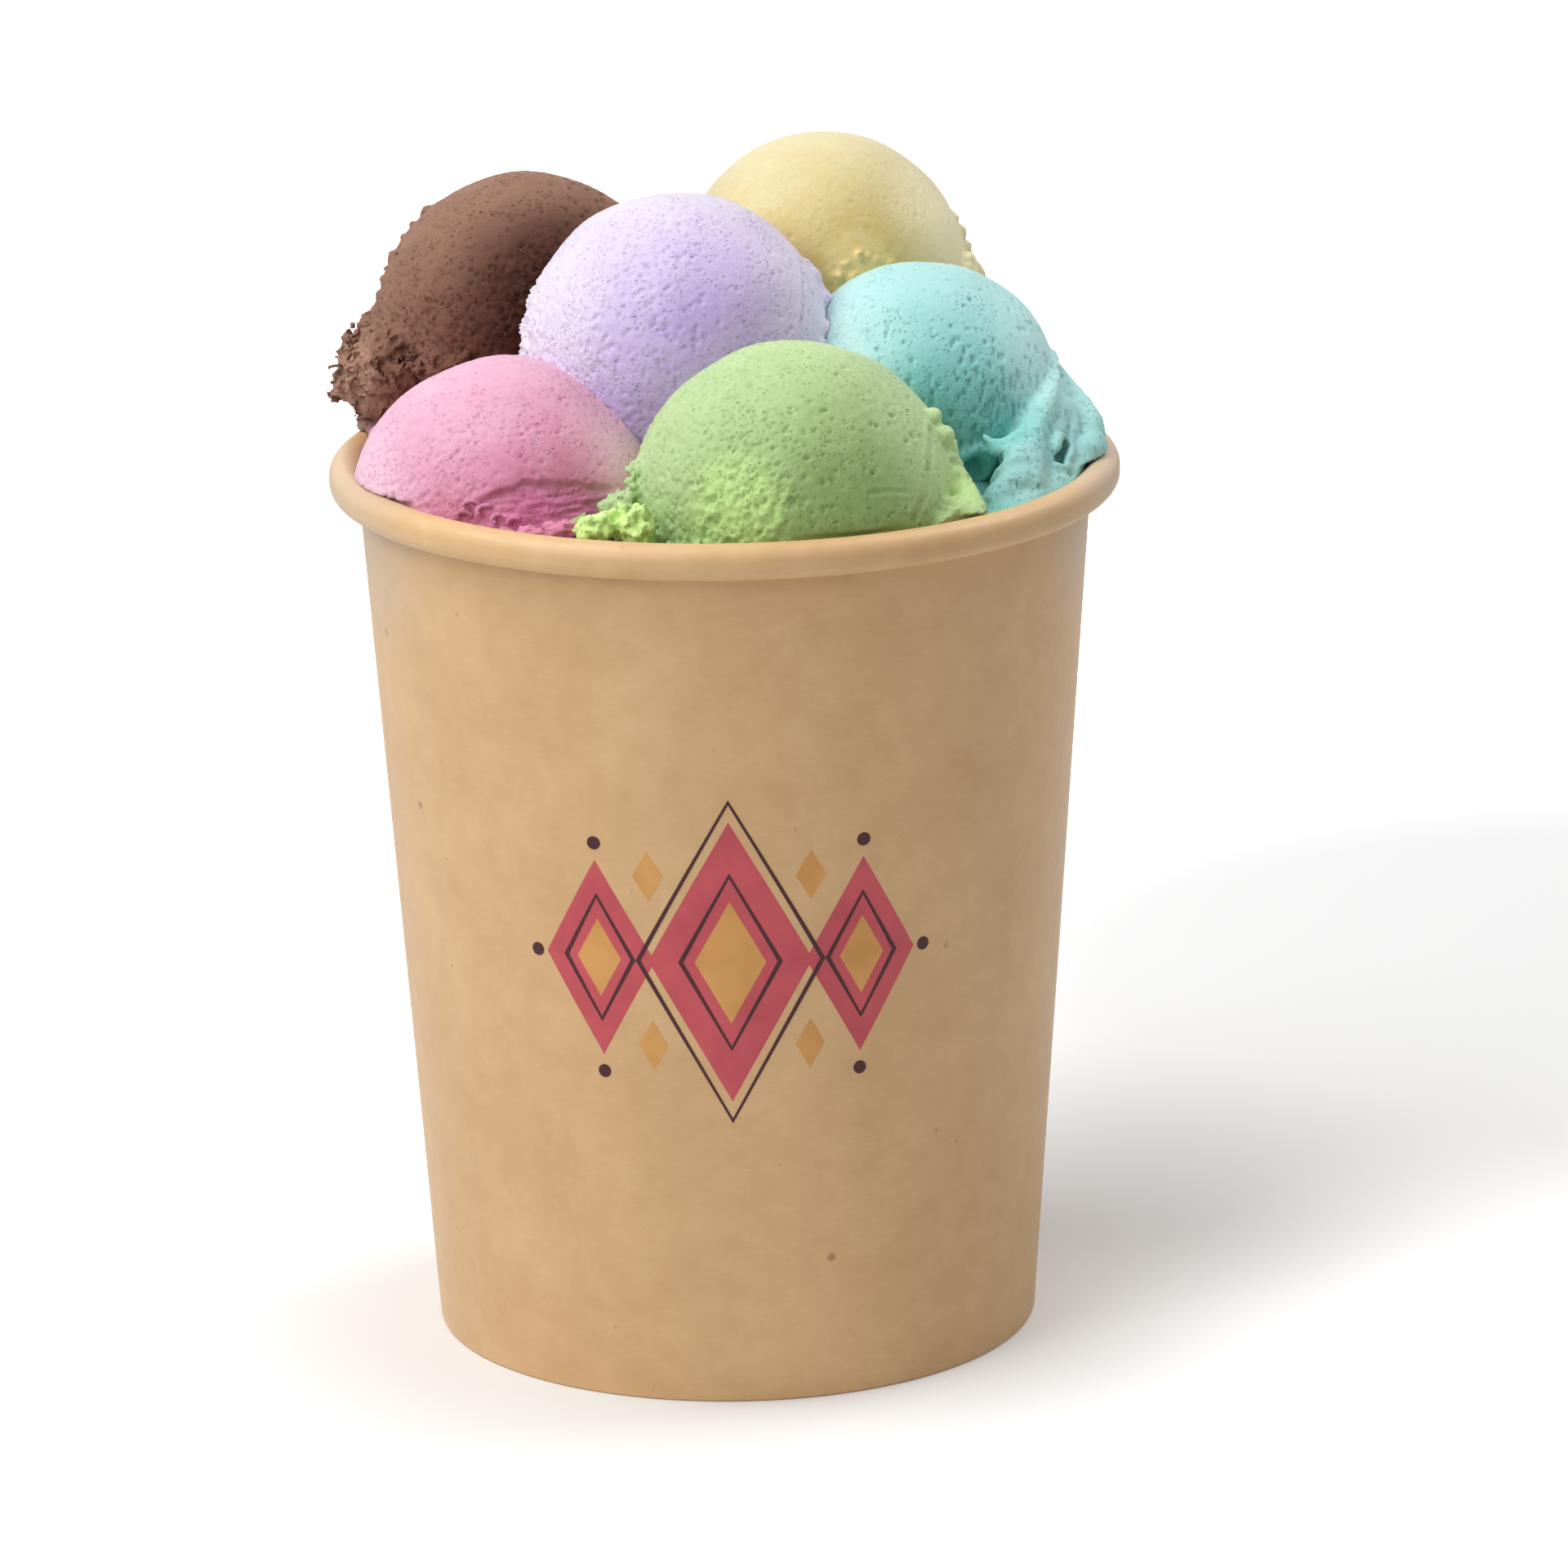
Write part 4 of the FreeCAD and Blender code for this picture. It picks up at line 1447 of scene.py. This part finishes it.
# %% World
def studio_world(strength=0.23):
    """White for the camera and for reflections, and a weaker fill for all other light."""
    world = bpy.data.worlds.new("studio")
    world.use_nodes = True
    bpy.context.scene.world = world
    tree = world.node_tree
    path = tree.nodes.new("ShaderNodeLightPath")
    background = tree.nodes["Background"]
    background.inputs["Color"].default_value = (1, 1, 1, 1)
    level = path.outputs["Is Camera Ray"]
    for name in ("Is Glossy Ray", "Is Transmission Ray"):
        either = tree.nodes.new("ShaderNodeMath")
        either.operation = "MAXIMUM"
        tree.links.new(level, either.inputs[0])
        tree.links.new(path.outputs[name], either.inputs[1])
        level = either.outputs[0]
    fill = tree.nodes.new("ShaderNodeMapRange")
    tree.links.new(level, fill.inputs["Value"])
    fill.inputs["To Min"].default_value = strength
    fill.inputs["To Max"].default_value = 1.0
    tree.links.new(fill.outputs[0], background.inputs["Strength"])


studio_world()


# %% [markdown]
# A large soft lamp high on the left shapes the balls, a weaker one nearer the camera throws
# the long shadow, and a third behind on the right lights the far edges.

# %% Lamps
def soft_lamp(name, azimuth, elevation, distance, size, power):
    """A square lamp that looks at the middle of the cup."""
    target = Vector((0, 0, 0.1))
    data = bpy.data.lights.new(name, "AREA")
    data.size = size
    data.energy = power
    lamp = linked(name, data)
    lamp.location = target + heading(azimuth, elevation) * distance
    lamp.rotation_euler = (target - lamp.location).to_track_quat("-Z", "Y").to_euler()
    print(name, "lamp:", power, "W")


soft_lamp("key", azimuth=-166, elevation=58, distance=1.0, size=0.8, power=8.8)
soft_lamp("front", azimuth=-128, elevation=30, distance=1.4, size=0.5, power=4.2)
soft_lamp("edge", azimuth=28, elevation=50, distance=1.2, size=0.6, power=4.6)

# %% [markdown]
# The camera's lens follows from how many pixels of the picture its focal length spans.

# %% Camera
sensor = 36.0
picture_width = 1920
focal_pixels = 11013


def studio_camera():
    data = bpy.data.cameras.new("camera")
    data.sensor_width = sensor
    data.lens = focal_pixels * sensor / picture_width
    data.clip_start = 0.05
    camera = linked("camera", data)
    turn = Matrix((to_right, to_top, to_camera)).transposed()
    camera.matrix_world = Matrix.Translation(camera_place * MM) @ turn.to_4x4()
    bpy.context.scene.camera = camera
    print(f"camera: {data.lens:.0f} mm lens")


studio_camera()
bpy.context.scene.view_settings.view_transform = "Standard"
